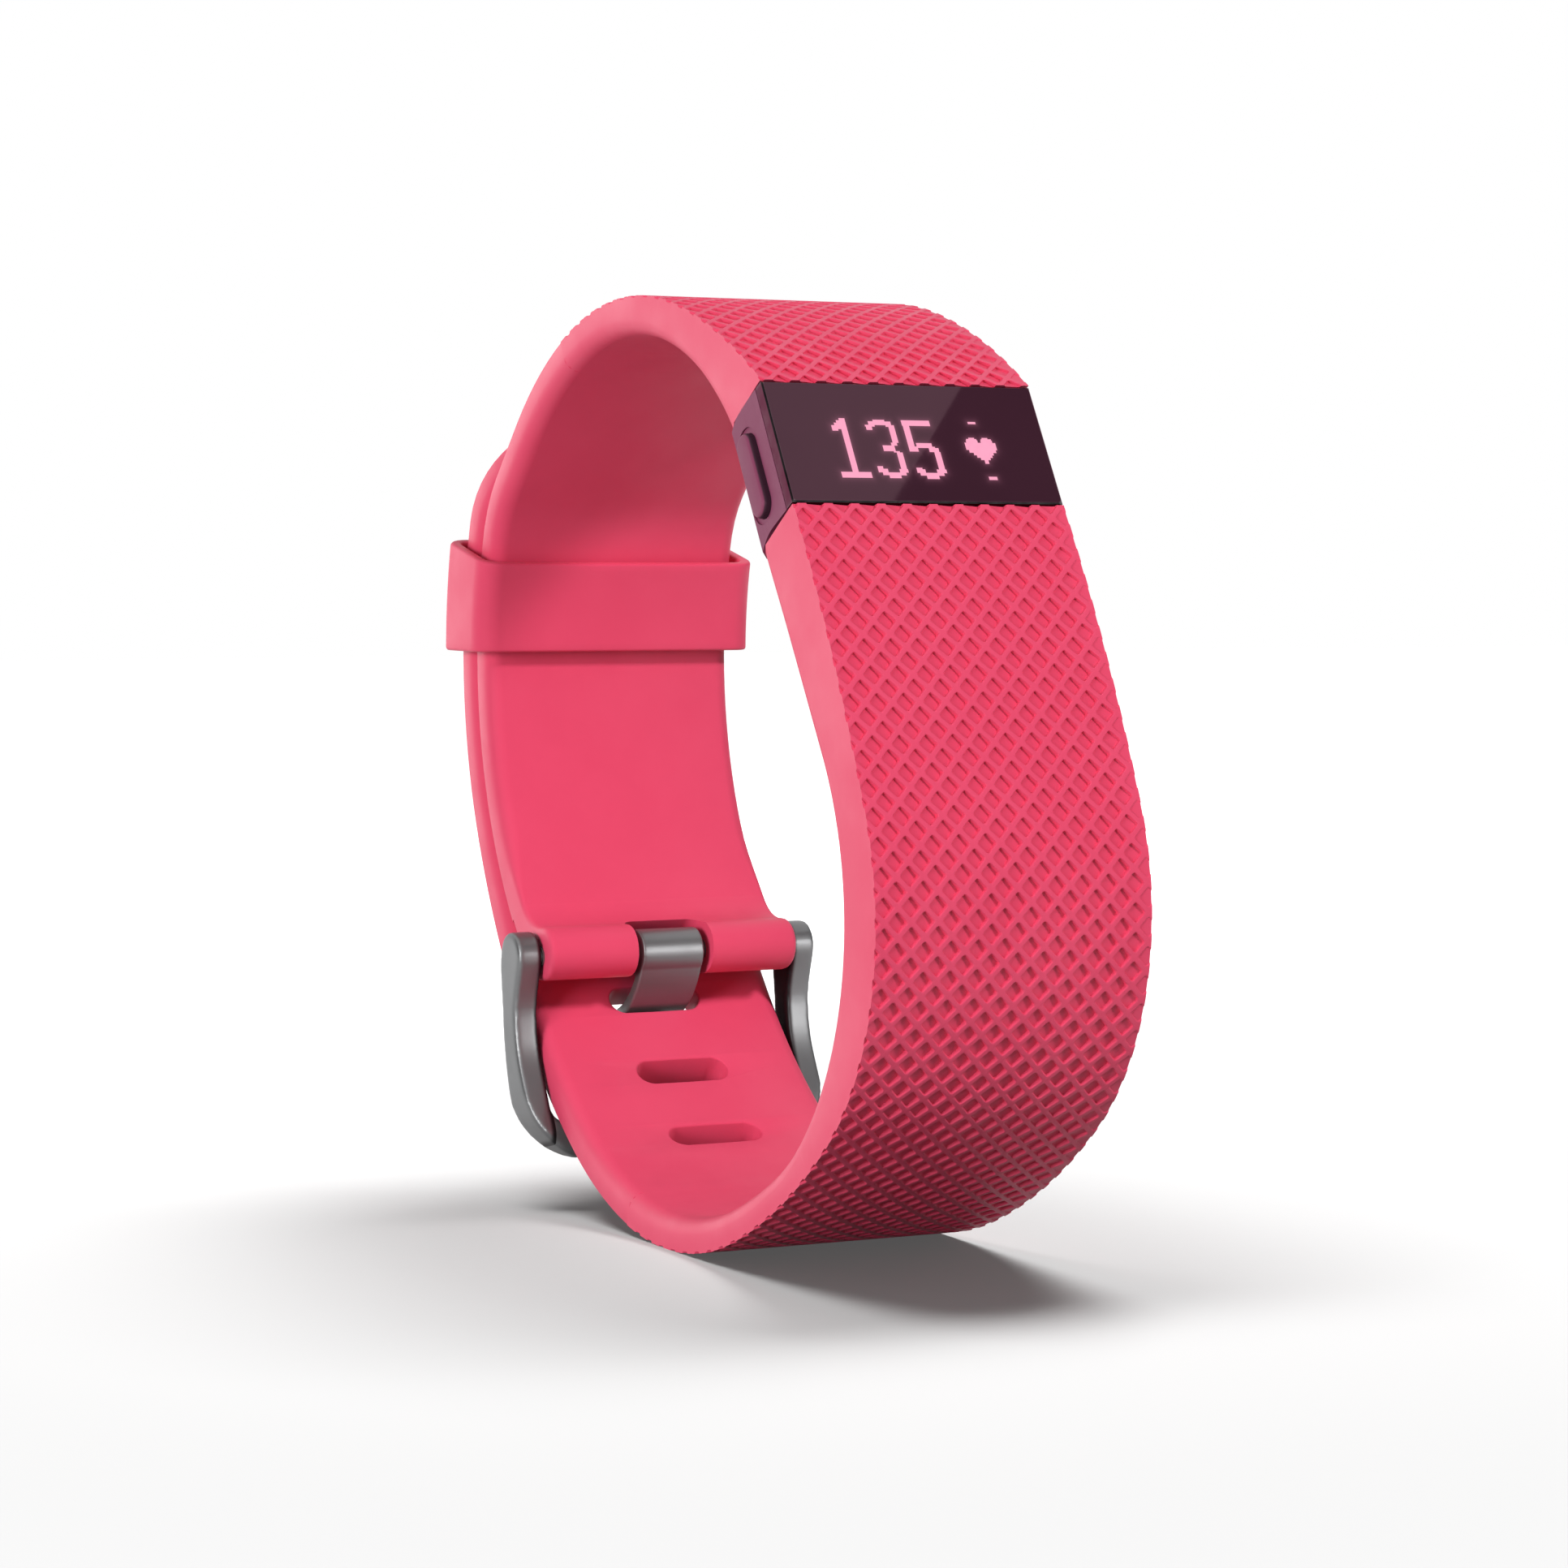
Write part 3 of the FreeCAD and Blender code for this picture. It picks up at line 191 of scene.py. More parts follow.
class Outline:
    """Chain of tangent arcs and lines in the Y-Z plane."""

    def __init__(self, point: Point, heading: float) -> None:
        """Starts an outline at a point with a heading in degrees."""
        self.point = point
        self.heading = heading
        self.runs: list[Run] = []

    @property
    def length(self) -> float:
        """Whole length."""
        return sum(run.length for run in self.runs)

    def line(self, length: float) -> "Outline":
        """Goes straight on for a length."""
        return self._add(Run(self.point, self.heading, length, 0.0))

    def arc(self, radius: float, sweep: float) -> "Outline":
        """Turns on a radius; a positive sweep turns left."""
        return self._add(Run(self.point, self.heading, radius, sweep))

    def _add(self, run: Run) -> "Outline":
        """Appends a run and moves to its end."""
        self.runs.append(run)
        self.point, self.heading = run.at(1.0)
        return self

    def arc_to(self, target: Point) -> "Outline":
        """Turns on the one arc that ends on a target."""
        c, s = unit(self.heading)
        dy, dz = target[0] - self.point[0], target[1] - self.point[1]
        side = c * dz - s * dy
        if abs(side) < 1e-9:
            return self.line(math.hypot(dy, dz))
        half = math.degrees(math.atan2(abs(side), c * dy + s * dz))
        return self.arc((dy * dy + dz * dz) / (2 * abs(side)), math.copysign(2 * half, side))

    def biarc_to(self, target: Point, heading: float) -> "Outline":
        """Turns on two tangent arcs to a target point and heading."""
        t1, t2 = unit(self.heading), unit(heading)
        v = (target[0] - self.point[0], target[1] - self.point[1])
        a = 2 * (t1[0] * t2[0] + t1[1] * t2[1] - 1)
        b = -2 * (v[0] * (t1[0] + t2[0]) + v[1] * (t1[1] + t2[1]))
        root = math.sqrt(b * b - 4 * a * (v[0] * v[0] + v[1] * v[1]))
        d = max((-b - root) / (2 * a), (-b + root) / (2 * a))
        middle = tuple((self.point[i] + target[i] + d * (t1[i] - t2[i])) / 2 for i in (0, 1))
        return self.arc_to(middle).arc_to(target)

    def tie_to(self, centre: Point, radius: float) -> "Outline":
        """Turns on the arc that runs into a circle."""
        c, s = unit(self.heading)
        dy, dz = self.point[0] - centre[0], self.point[1] - centre[1]
        side = 1.0 if s * dy - c * dz > 0 else -1.0
        n = (-side * s, side * c)
        r = (radius * radius - dy * dy - dz * dz) / (2 * (radius + n[0] * dy + n[1] * dz))
        q = (self.point[0] + n[0] * r, self.point[1] + n[1] * r)
        k = math.copysign(radius / math.dist(q, centre), radius - r)
        return self.arc_to((centre[0] + (q[0] - centre[0]) * k, centre[1] + (q[1] - centre[1]) * k))

    def offset(self, distance: float, first: int = 0) -> "Outline":
        """The outline moved to its left, from the run numbered first."""
        start = self.runs[first]
        c, s = unit(start.heading)
        moved = Outline((start.point[0] - distance * s, start.point[1] + distance * c), start.heading)
        for run in self.runs[first:]:
            if run.sweep:
                moved.arc(run.size - distance * math.copysign(1, run.sweep), run.sweep)
            else:
                moved.line(run.size)
        return moved

    def reverse(self) -> "Outline":
        """The outline walked the other way."""
        back = Outline(self.point, self.heading + 180)
        for run in reversed(self.runs):
            back._add(Run(back.point, back.heading, run.size, -run.sweep))
        return back

    def follow(self, other: "Outline", first: int = 0, length: float = math.inf) -> "Outline":
        """Goes on with the runs of another outline, up to a length."""
        for run in other.runs[first:]:
            share = min(1.0, length / run.length)
            if share > 1e-9:
                size, sweep = (run.size, run.sweep * share) if run.sweep else (run.size * share, 0.0)
                self._add(Run(self.point, self.heading, size, sweep))
            length -= run.length
        return self

    def at(self, distance: float) -> tuple[Point, float]:
        """Point and heading at a distance; before the start and past the end it carries on."""
        for run in self.runs[:-1]:
            if distance <= run.length:
                return run.at(distance / run.length)
            distance -= run.length
        last = self.runs[-1]
        return last.at(distance / last.length)

    def reach(self, centre: Point, degrees: float) -> float:
        """Distance at which the outline, which circles a centre to the left, comes to a bearing from it."""
        low, high = 0.0, self.length
        for _ in range(HALVINGS):
            middle = (low + high) / 2
            off = bearing(centre, self.at(middle)[0]) - degrees
            low, high = (low, middle) if (off + 180) % 360 > 180 else (middle, high)
        return low

    def nearest(self, target: Point, coarse: float = 0.5, fine: float = 0.02) -> float:
        """Distance along the outline at which it comes nearest to a point."""

        def off(distance: float) -> float:
            """Distance of the outline from the point."""
            return math.dist(self.at(distance)[0], target)

        best = min((i * coarse for i in range(int(self.length / coarse))), key=off)
        count = round(coarse / fine)
        return min((best + i * fine for i in range(-count, count + 1)), key=off)

    def points(self, step: float) -> list[Point]:
        """Points along the outline, no further apart than a step, with every joint among them."""
        made = [self.runs[0].point]
        for run in self.runs:
            count = max(1, math.ceil(run.length / step))
            made += [run.at(i / count)[0] for i in range(1, count + 1)]
        return made


# ---------------------------------------------------------------- modelling helpers


def everything() -> None:
    """Selects the whole edit mesh."""
    bpy.ops.mesh.select_all(action="SELECT")


def extrude(x: float = 0.0, y: float = 0.0, z: float = 0.0) -> None:
    """Draws out the selected region and moves it."""
    bpy.ops.mesh.extrude_region_move(TRANSFORM_OT_translate={"value": (x, y, z)})


def move(x: float = 0.0, y: float = 0.0, z: float = 0.0) -> None:
    """Moves the selection."""
    bpy.ops.transform.translate(value=(x, y, z))


def inset(thickness: float, depth: float = 0.0) -> None:
    """Insets each selected face by itself."""
    bpy.ops.mesh.inset(use_individual=True, thickness=thickness, depth=depth)


def trim(left: float, right: float, near: float, far: float) -> None:
    """Cuts the edit mesh back to a rectangle in plan."""
    for place, normal in (((left, 0, 0), (-1, 0, 0)), ((right, 0, 0), (1, 0, 0)),
                          ((0, near, 0), (0, -1, 0)), ((0, far, 0), (0, 1, 0))):
        everything()
        bpy.ops.mesh.bisect(plane_co=place, plane_no=normal, clear_outer=True)


def deselect() -> None:
    """Leaves edit mode and deselects everything."""
    if bpy.context.object and bpy.context.object.mode != "OBJECT":
        bpy.ops.object.mode_set(mode="OBJECT")
    bpy.ops.object.select_all(action="DESELECT")


def activate(piece: Piece) -> None:
    """Leaves edit mode and selects one piece alone."""
    deselect()
    piece.select_set(True)
    bpy.context.view_layer.objects.active = piece


@contextmanager
def editing(piece: Piece, mode: str = "FACE") -> Iterator[bmesh.types.BMesh]:
    """Edit mode on one piece, with nothing selected.

    Args:
        piece: The piece to edit.
        mode: VERT, EDGE or FACE.
    Returns:
        The edit mesh, for selecting by place.
    """
    activate(piece)
    bpy.ops.object.mode_set(mode="EDIT")
    bpy.ops.mesh.select_mode(type=mode)
    bpy.ops.mesh.select_all(action="DESELECT")
    yield bmesh.from_edit_mesh(piece.data)
    bpy.ops.object.mode_set(mode="OBJECT")


def pick(piece: Piece, kind: str, test: Callable[[object], bool]) -> int:
    """Selects the parts of the edit mesh that pass a test.

    Args:
        piece: The piece in edit mode.
        kind: verts, edges or faces.
        test: Called with each part.
    Returns:
        How many were selected.
    """
    bpy.ops.mesh.select_all(action="DESELECT")
    mesh = bmesh.from_edit_mesh(piece.data)
    chosen = [part for part in getattr(mesh, kind) if test(part)]
    for part in chosen:
        part.select_set(True)
    mesh.select_flush_mode()
    bmesh.update_edit_mesh(piece.data)
    return len(chosen)


def apply_modifier(piece: Piece, kind: str, **settings: object) -> None:
    """Adds a modifier with its settings and applies it."""
    activate(piece)
    added = piece.modifiers.new(kind.lower(), kind)
    for name, value in settings.items():
        setattr(added, name, value)
    bpy.ops.object.modifier_apply(modifier=added.name)


def span(edge: Edge, axis: int) -> float:
    """Length of an edge along an axis."""
    return abs(edge.verts[0].co[axis] - edge.verts[1].co[axis])


def cut_away(piece: Piece, tool: Piece, operation: str = "DIFFERENCE") -> None:
    """Cuts a tool out of a piece and deletes the tool."""
    apply_modifier(piece, "BOOLEAN", object=tool, operation=operation, solver="EXACT")
    bpy.data.objects.remove(tool, do_unlink=True)


def named(name: str) -> Piece:
    """The active piece, given a name."""
    piece = bpy.context.object
    piece.name = name
    piece.data.name = name
    return piece


def primitive(kind: str, name: str, **settings: object) -> Piece:
    """New named mesh primitive of a kind."""
    deselect()
    getattr(bpy.ops.mesh, f"primitive_{kind}_add")(**settings)
    return named(name)


def sized(piece: Piece, x: float, y: float, z: float = 1.0) -> Piece:
    """Scales a piece and applies its place."""
    piece.scale = (x, y, z)
    bpy.ops.object.transform_apply()
    return piece


def settle(piece: Piece, angle: float = 35.0) -> Piece:
    """Applies a piece's place, points its faces outwards and smooths it below an angle."""
    activate(piece)
    bpy.ops.object.transform_apply()
    bpy.ops.object.shade_smooth_by_angle(angle=math.radians(angle))
    return piece


def outward(piece: Piece, merge: float = NEAR) -> None:
    """Merges doubles nearer than a distance and recalculates the normals of a closed mesh."""
    with editing(piece, "VERT"):
        everything()
        bpy.ops.mesh.remove_doubles(threshold=merge)
        bpy.ops.mesh.normals_make_consistent(inside=False)


def join(pieces: list[Piece], name: str) -> Piece:
    """Joins pieces into one object."""
    deselect()
    for piece in pieces:
        piece.select_set(True)
    bpy.context.view_layer.objects.active = pieces[0]
    bpy.ops.object.join()
    return named(name)


def slice_along(piece: Piece, axis: int, places: list[float]) -> None:
    """Cuts cross lines into a piece, so that it can bend.

    Args:
        piece: The piece.
        axis: 0 for X, 1 for Y, 2 for Z.
        places: Where each cut goes on that axis.
    """
    normal = Vector([float(i == axis) for i in range(3)])
    with editing(piece):
        for place in places:
            everything()
            bpy.ops.mesh.bisect(plane_co=normal * place, plane_no=normal)


def stations(start: float, end: float, step: float) -> list[float]:
    """Even places strictly between two ends."""
    count = max(1, math.ceil((end - start) / step))
    return [start + (end - start) * i / count for i in range(1, count)]


def prism(name: str, points: list[Point], low: float, high: float) -> Piece:
    """Closed outline in the Y-Z plane drawn out along X.

    Args:
        name: Name of the piece.
        points: Corners of the outline, in order.
        low: X of one end.
        high: X of the other end.
    Returns:
        A closed piece.
    """
    piece = primitive("circle", name, vertices=len(points), fill_type="NGON")
    for vert, (y, z) in zip(piece.data.vertices, points):
        vert.co = (low, y, z)
    with editing(piece):
        everything()
        extrude(high - low, 0, 0)
    outward(piece)
    return piece


def box(name: str, size: Triple, centre: Triple = (0, 0, 0)) -> Piece:
    """Box of a size about a centre, for shaping further."""
    return sized(primitive("cube", name, size=1.0, location=centre), *size)


def rod(name: str, radius: float, low: float, high: float, place: Point, sides: int = 40) -> Piece:
    """Cylinder along X between two ends, for shaping further."""
    piece = primitive("cylinder", name, vertices=sides, radius=radius, depth=high - low,
                      location=((low + high) / 2, *place), rotation=(0, math.pi / 2, 0))
    bpy.ops.object.transform_apply()
    return piece


def stretch(piece: Piece, axis: int, reach: float) -> None:
    """Draws a piece out on both sides of its middle, along an axis."""
    with editing(piece, "VERT"):
        for side in (-1, 1):
            pick(piece, "verts", lambda vert: vert.co[axis] * side > NEAR)
            move(*(side * reach if i == axis else 0.0 for i in range(3)))


def bevel_edges(piece: Piece, test: Callable[[Edge], bool], width: float, segments: int = 3) -> None:
    """Rounds the edges that pass a test."""
    with editing(piece, "EDGE"):
        if pick(piece, "edges", test):
            bpy.ops.mesh.bevel(offset=width, segments=segments, affect="EDGES", clamp_overlap=True)


def soften(piece: Piece, grain: float, rounds: int) -> None:
    """Rounds every edge of a closed piece softly, as polishing does.

    Args:
        piece: The piece.
        grain: Size of the even facets that replace its faces.
        rounds: How many times they are smoothed.
    """
    apply_modifier(piece, "REMESH", mode="VOXEL", voxel_size=grain)
    apply_modifier(piece, "SMOOTH", factor=0.5, iterations=rounds)


def stand(piece: Piece, place: Matrix) -> None:
    """Puts a piece, modelled about the origin, in its place."""
    piece.matrix_world = place
    activate(piece)
    bpy.ops.object.transform_apply()


def bend(piece: Piece, place: Callable[[Vector], Vector]) -> None:
    """Carries every point of a flat piece to its place round the loop."""
    for vert in piece.data.vertices:
        vert.co = place(vert.co)


def to_metres(piece: Piece) -> None:
    """Turns a piece modelled in millimetres into metres."""
    stand(piece, Matrix.Scale(MM, 4))


def ribbon(line: Outline, half: Callable[[float, int], float], gap: float, cap: int = 8) -> list[Point]:
    """Closed outline of a strip about a middle line, with round ends.

    Args:
        line: The middle line.
        half: Reach of the strip at a share of the line's length, to its left (1) or right (-1).
        gap: Distance between points.
        cap: Points in each round end.
    Returns:
        The outline's points, in order.
    """
    count = max(2, math.ceil(line.length / gap))
    sides: dict[int, list[Point]] = {1: [], -1: []}
    for i in range(count + 1):
        point, heading = line.at(line.length * i / count)
        for side in sides:
            sides[side].append(ahead(point, heading + 90 * side, half(i / count, side)))
    ends = []
    for distance, share, turn in ((line.length, 1.0, 90), (0.0, 0.0, 270)):
        point, heading = line.at(distance)
        ends.append([ahead(point, heading + turn - 180 * i / cap, half(share, 1)) for i in range(1, cap)])
    return sides[1] + ends[0] + sides[-1][::-1] + ends[1]


def dress(piece: Piece, finish: "Finish", slot: str, body: str, *nodes: str) -> Piece:
    """Gives a new piece its finish, its body and the CAD nodes that it stands for.

    Args:
        piece: The piece.
        finish: What it is made of.
        slot: The record's slot for that material; not used.
        body: The body it moves with.
        nodes: CAD nodes that it replaces.
    Returns:
        The piece.
    """
    piece.data.materials.clear()
    piece.data.materials.append(finish.material())
    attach(piece, body)
    if nodes:
        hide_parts(*nodes)
    LOG.info("%s: %d faces, on %s", piece.name, len(piece.data.polygons), body)
    return piece


# ---------------------------------------------------------------- the band's shape


@dataclass(frozen=True)
class Loop:
    """Side view of the closed band: the outlines that every other piece follows.

    Places ending in `_at`, the radii of the arcs and long_start are shares of the back circle's radius.
    """

    back: float = 33.9
    centre_at: Point = (0.0059, 0.2330)
    module_at: Point = (-0.5516, 0.6873)
    short_turn: float = -27.3
    short_arcs: tuple[Point, ...] = ((1.3805, -18.8), (0.8879, -58.5))
    short_skin: float = 48.0
    long_turn: float = -182.0
    long_arcs: tuple[Point, ...] = ((3.8348, 10.0), (0.5900, 71.8), (1.4395, 19.7))
    long_skin: float = -181.5
    long_start: float = 0.4572
    thick: float = 2.5
    layer_gap: float = 0.4
    half_width: float = 10.5
    module_length: float = 9.5
    module_thick: float = 6.0
    tilt: float = 60.0
    seam_straight: float = 3.4
    seam_bend: float = 4.0
    seam_gap: float = 0.12
    top_join: float = 16.0
    base_join: float = -22.0
    tip_length: float = 12.5
    tip_start: float = 17.0

    @property
    def centre(self) -> Point:
        """Centre of the circle that the back of the band follows."""
        return self.centre_at[0] * self.back, self.centre_at[1] * self.back

    @property
    def module(self) -> Point:
        """Middle of the display."""
        return self.module_at[0] * self.back, self.module_at[1] * self.back

    @property
    def deep(self) -> float:
        """Radius of the short strap's skin face at the back."""
        return self.back - self.thick

    @property
    def tail(self) -> float:
        """Radius of the long strap's outer face at the back."""
        return self.back + self.layer_gap + self.thick

    def polar(self, radius: float, degrees: float) -> Point:
        """Point at a radius and angle about the back circle."""
        return ahead(self.centre, degrees, radius)

    def on_module(self, u: float, w: float) -> Point:
        """Point of the side view from distances along the module and out of the display."""
        c, s = unit(self.tilt)
        return self.module[0] + u * c - w * s, self.module[1] + u * s + w * c

    def module_place(self) -> Matrix:
        """Carries the module's own frame (across, along, out) to the band's."""
        return Matrix.Translation((0, *self.module)) @ Matrix.Rotation(math.radians(self.tilt), 4, "X")

    def seam(self, end: float, gap: float) -> Outline:
        """Seam between module and strap, from the display to the skin."""
        turn = math.degrees(math.asin((self.module_thick - self.seam_straight) / self.seam_bend))
        line = Outline(self.on_module(end + gap, 0.0), self.tilt - 90)
        return line.line(self.seam_straight).arc(self.seam_bend, -turn)

    def upper_seam(self) -> Outline:
        """Seam of the short strap."""
        return self.seam(self.module_length / 2, self.seam_gap)

    def lower_seam(self) -> Outline:
        """Seam of the long strap."""
        return self.seam(-self.module_length / 2, -self.seam_gap)

    def short_outer(self) -> Outline:
        """Outer face of the short strap, from the module to the back circle."""
        line = Outline(self.on_module(self.module_length / 2 + self.seam_gap, 0.0), self.tilt + self.short_turn)
        for radius, sweep in self.short_arcs:
            line.arc(radius * self.back, sweep)
        return line.biarc_to(self.polar(self.back, self.top_join), self.top_join - 90)

    def short_inner(self) -> Outline:
        """Skin face of the short strap."""
        outer = self.short_outer()
        line = Outline(self.upper_seam().point, self.short_skin)
        line.tie_to(outer.runs[1].centre, outer.runs[1].size - self.thick)
        rest = outer.offset(-self.thick, 2)
        return line.arc_to(rest.runs[0].point).follow(rest)

    def long_outer(self) -> Outline:
        """Outer face of the long strap, from the module to its tip."""
        line = Outline(self.on_module(-self.module_length / 2 - self.seam_gap, 0.0), self.tilt + self.long_turn)
        for radius, sweep in self.long_arcs:
            line.arc(radius * self.back, sweep)
        line.biarc_to(self.polar(self.tail, self.base_join), self.base_join + 90)
        line.arc(self.tail, self.top_join - self.base_join)
        reach = self.tip_length + math.radians(self.tip_start - self.top_join) * self.tail
        return line.follow(self.short_outer().offset(self.layer_gap + self.thick).reverse(), 0, reach)

    def long_inner(self) -> Outline:
        """Skin face of the long strap."""
        outer = self.long_outer()
        line = Outline(self.lower_seam().point, self.tilt + self.long_skin)
        line.line(self.long_start * self.back).tie_to(outer.runs[2].centre, outer.runs[2].size - self.thick)
        rest = outer.offset(self.thick, 3)
        return line.arc_to(rest.runs[0].point).follow(rest)


# ---------------------------------------------------------------- finishes


class Nodes:
    """One node tree being built. A value may be a number, a colour or the socket of another node."""

    def __init__(self, tree: Tree) -> None:
        """Takes the tree to build in."""
        self.tree = tree

    def feed(self, socket: Socket, value: object) -> None:
        """Gives a socket its value, or links it."""
        if isinstance(value, Socket):
            self.tree.links.new(value, socket)
        else:
            socket.default_value = (*value, 1.0) if socket.type == "RGBA" else value

    def fill(self, node: Node, values: dict[str | int, object]) -> None:
        """Feeds a node's inputs, by title or number."""
        for title, value in values.items():
            self.feed(node.inputs[title], value)

    def add(self, kind: str, values: dict[str | int, object] | None = None) -> Node:
        """Adds a shader node of a kind, with values for its inputs."""
        node = self.tree.nodes.new("ShaderNode" + kind)
        self.fill(node, values or {})
        return node

    def group(self, made: Tree, values: dict[str, float]) -> Node:
        """Places a shared effect with its own values."""
        node = self.add("Group")
        node.node_tree = made
        self.fill(node, values)
        return node

    def maths(self, operation: str, first: object, second: object = None, clamp: bool = False) -> Socket:
        """Result of a sum on sockets or numbers, kept between 0 and 1 if clamp is set."""
        node = self.add("Math", {0: first} if second is None else {0: first, 1: second})
        node.operation, node.use_clamp = operation, clamp
        return node.outputs[0]

    def ramp(self, value: Socket, low: float, high: float) -> Socket:
        """Mask that rises from 0 to 1 between two values; with low above high it falls."""
        falls = float(low > high)
        node = self.add("MapRange", {"Value": value, "From Min": min(low, high), "From Max": max(low, high),
                                     "To Min": falls, "To Max": 1.0 - falls})
        node.interpolation_type = "SMOOTHSTEP"
        return node.outputs["Result"]

    def mix(self, mask: Socket, first: object, second: object) -> Socket:
        """Colour between two colours, by a mask."""
        node = self.add("Mix")
        node.data_type = "RGBA"
        self.fill(node, {0: mask, 6: first, 7: second})
        return node.outputs[2]

    def place(self, kind: str = "Object") -> Socket:
        """Coordinates of a kind."""
        return self.add("TexCoord").outputs[kind]

    def part(self, axis: str, vector: Socket) -> Socket:
        """One part of a vector."""
        return self.add("SeparateXYZ", {"Vector": vector}).outputs[axis]

    def stored(self, name: str) -> Socket:
        """Number that the mesh carries under a name."""
        node = self.add("Attribute")
        node.attribute_name = name
        return node.outputs["Fac"]


class Effects:
    """Node groups shared by the finishes, each built once."""

    @staticmethod
    def _group(name: str, inputs: dict[str, float], outputs: tuple[str, ...]) -> tuple[Nodes, Node, Node]:
        """Empty group with number inputs and outputs, and its two ends."""
        tree = bpy.data.node_groups.new(name, "ShaderNodeTree")
        for title, value in inputs.items():
            tree.interface.new_socket(title, in_out="INPUT", socket_type="NodeSocketFloat").default_value = value
        for title in outputs:
            tree.interface.new_socket(title, in_out="OUTPUT", socket_type="NodeSocketFloat")
        return Nodes(tree), tree.nodes.new("NodeGroupInput"), tree.nodes.new("NodeGroupOutput")

    @classmethod
    def surface(cls) -> Tree:
        """Moulded or worked surface: fine grain as a height, and a slow mottle as a mask."""
        name = "surface_grain"
        if name not in bpy.data.node_groups:
            nodes, start, end = cls._group(name, {"Grain Scale": 9000.0, "Mottle Scale": 260.0}, ("Height", "Mottle"))
            place = nodes.place()
            grain, mottle = (nodes.add("TexNoise", {"Vector": place, "Scale": start.outputs[title], "Detail": detail,
                                                    "Roughness": rough}).outputs["Fac"]
                             for title, detail, rough in (("Grain Scale", 3.0, 0.55), ("Mottle Scale", 4.0, 0.6)))
            nodes.feed(end.inputs["Height"], grain)
            nodes.feed(end.inputs["Mottle"], nodes.ramp(mottle, 0.32, 0.68))
        return bpy.data.node_groups[name]

    @classmethod
    def wear(cls) -> Tree:
        """Mask of the outer edges that handling has rubbed, broken up by noise."""
        name = "edge_rub"
        if name not in bpy.data.node_groups:
            nodes, start, end = cls._group(name, {"Start": 0.53, "End": 0.62, "Break Scale": 900.0}, ("Mask",))
            noise = nodes.add("TexNoise", {"Vector": nodes.place(), "Scale": start.outputs["Break Scale"]})
            edges = nodes.add("MapRange", {"Value": nodes.add("NewGeometry").outputs["Pointiness"],
                                           "From Min": start.outputs["Start"], "From Max": start.outputs["End"]})
            mask = nodes.maths("MULTIPLY", edges.outputs["Result"], noise.outputs["Fac"], True)
            nodes.feed(end.inputs["Mask"], mask)
        return bpy.data.node_groups[name]


@dataclass(frozen=True)
class Finish:
    """What a piece is made of: two shades, a grain and a range of roughness."""

    name: str
    shade: Colour
    second: Colour
    rubbed: Colour = (0.6, 0.6, 0.6)
    wear: float = 0.3
    rough: Point = (0.45, 0.55)
    metal: float = 0.0
    specular: float = 0.5
    gloss: Colour = (1.0, 1.0, 1.0)
    coat: float = 0.0
    sheen: float = 0.0
    grain: float = 9000.0
    mottle: float = 260.0
    depth: float = 0.004
    coat_rough: float = 0.08
    bump: float = 0.5

    def material(self) -> bpy.types.Material:
        """The material, made the first time it is asked for."""
        if self.name in bpy.data.materials and bpy.data.materials[self.name].get("band_finish"):
            return bpy.data.materials[self.name]
        made = bpy.data.materials.new(self.name)
        made["band_finish"] = True
        made.use_nodes = True
        nodes = Nodes(made.node_tree)
        nodes.tree.nodes.clear()
        shader = nodes.add("BsdfPrincipled", {
            "Metallic": self.metal, "Specular IOR Level": self.specular, "Specular Tint": self.gloss,
            "Coat Weight": self.coat, "Coat Roughness": self.coat_rough, "Sheen Weight": self.sheen})
        nodes.add("OutputMaterial", {"Surface": shader.outputs["BSDF"]})
        self.paint(nodes, shader)
        return made

    def surface(self, nodes: Nodes) -> Node:
        """The shared surface effect at this finish's scales."""
        return nodes.group(Effects.surface(), {"Grain Scale": self.grain, "Mottle Scale": self.mottle})

    def height(self, nodes: Nodes, surface: Node) -> Socket:
        """Height that roughens the surface."""
        return surface.outputs["Height"]

    def colour(self, nodes: Nodes, surface: Node) -> Socket:
        """Colour before wear."""
        return nodes.mix(surface.outputs["Mottle"], self.shade, self.second)

    def paint(self, nodes: Nodes, shader: Node) -> None:
        """Adds the nodes that vary over the surface."""
        surface = self.surface(nodes)
        mask = nodes.maths("MULTIPLY", nodes.group(Effects.wear(), {}).outputs["Mask"], self.wear)
        span = nodes.maths("MULTIPLY", surface.outputs["Mottle"], self.rough[1] - self.rough[0])
        bump = nodes.add("Bump", {"Strength": self.bump, "Distance": self.depth * MM,
                                  "Height": self.height(nodes, surface)})
        nodes.fill(shader, {"Base Color": nodes.mix(mask, self.colour(nodes, surface), self.rubbed),
                            "Roughness": nodes.maths("ADD", span, self.rough[0]),
                            "Normal": bump.outputs["Normal"]})


@dataclass(frozen=True)
class Elastomer(Finish):
    """Soft moulded strap: powdery, a touch paler where it is handled."""

    name: str = "strap_elastomer"
    shade: Colour = (0.77, 0.067, 0.146)
    second: Colour = (0.75, 0.063, 0.139)
    rubbed: Colour = (0.8, 0.1, 0.18)
    # Painted shade: colour of the pit floors, darker than the ribs.
    floor: Colour = (0.74, 0.055, 0.126)
    rough: Point = (0.5, 0.6)
    sheen: float = 0.02
    grain: float = 6000.0
    mottle: float = 120.0

    def colour(self, nodes: Nodes, surface: Node) -> Socket:
        """Painted shade: darker in the pits than on the ribs between them."""
        return nodes.mix(nodes.stored("painted_pit_shade"), super().colour(nodes, surface), self.floor)


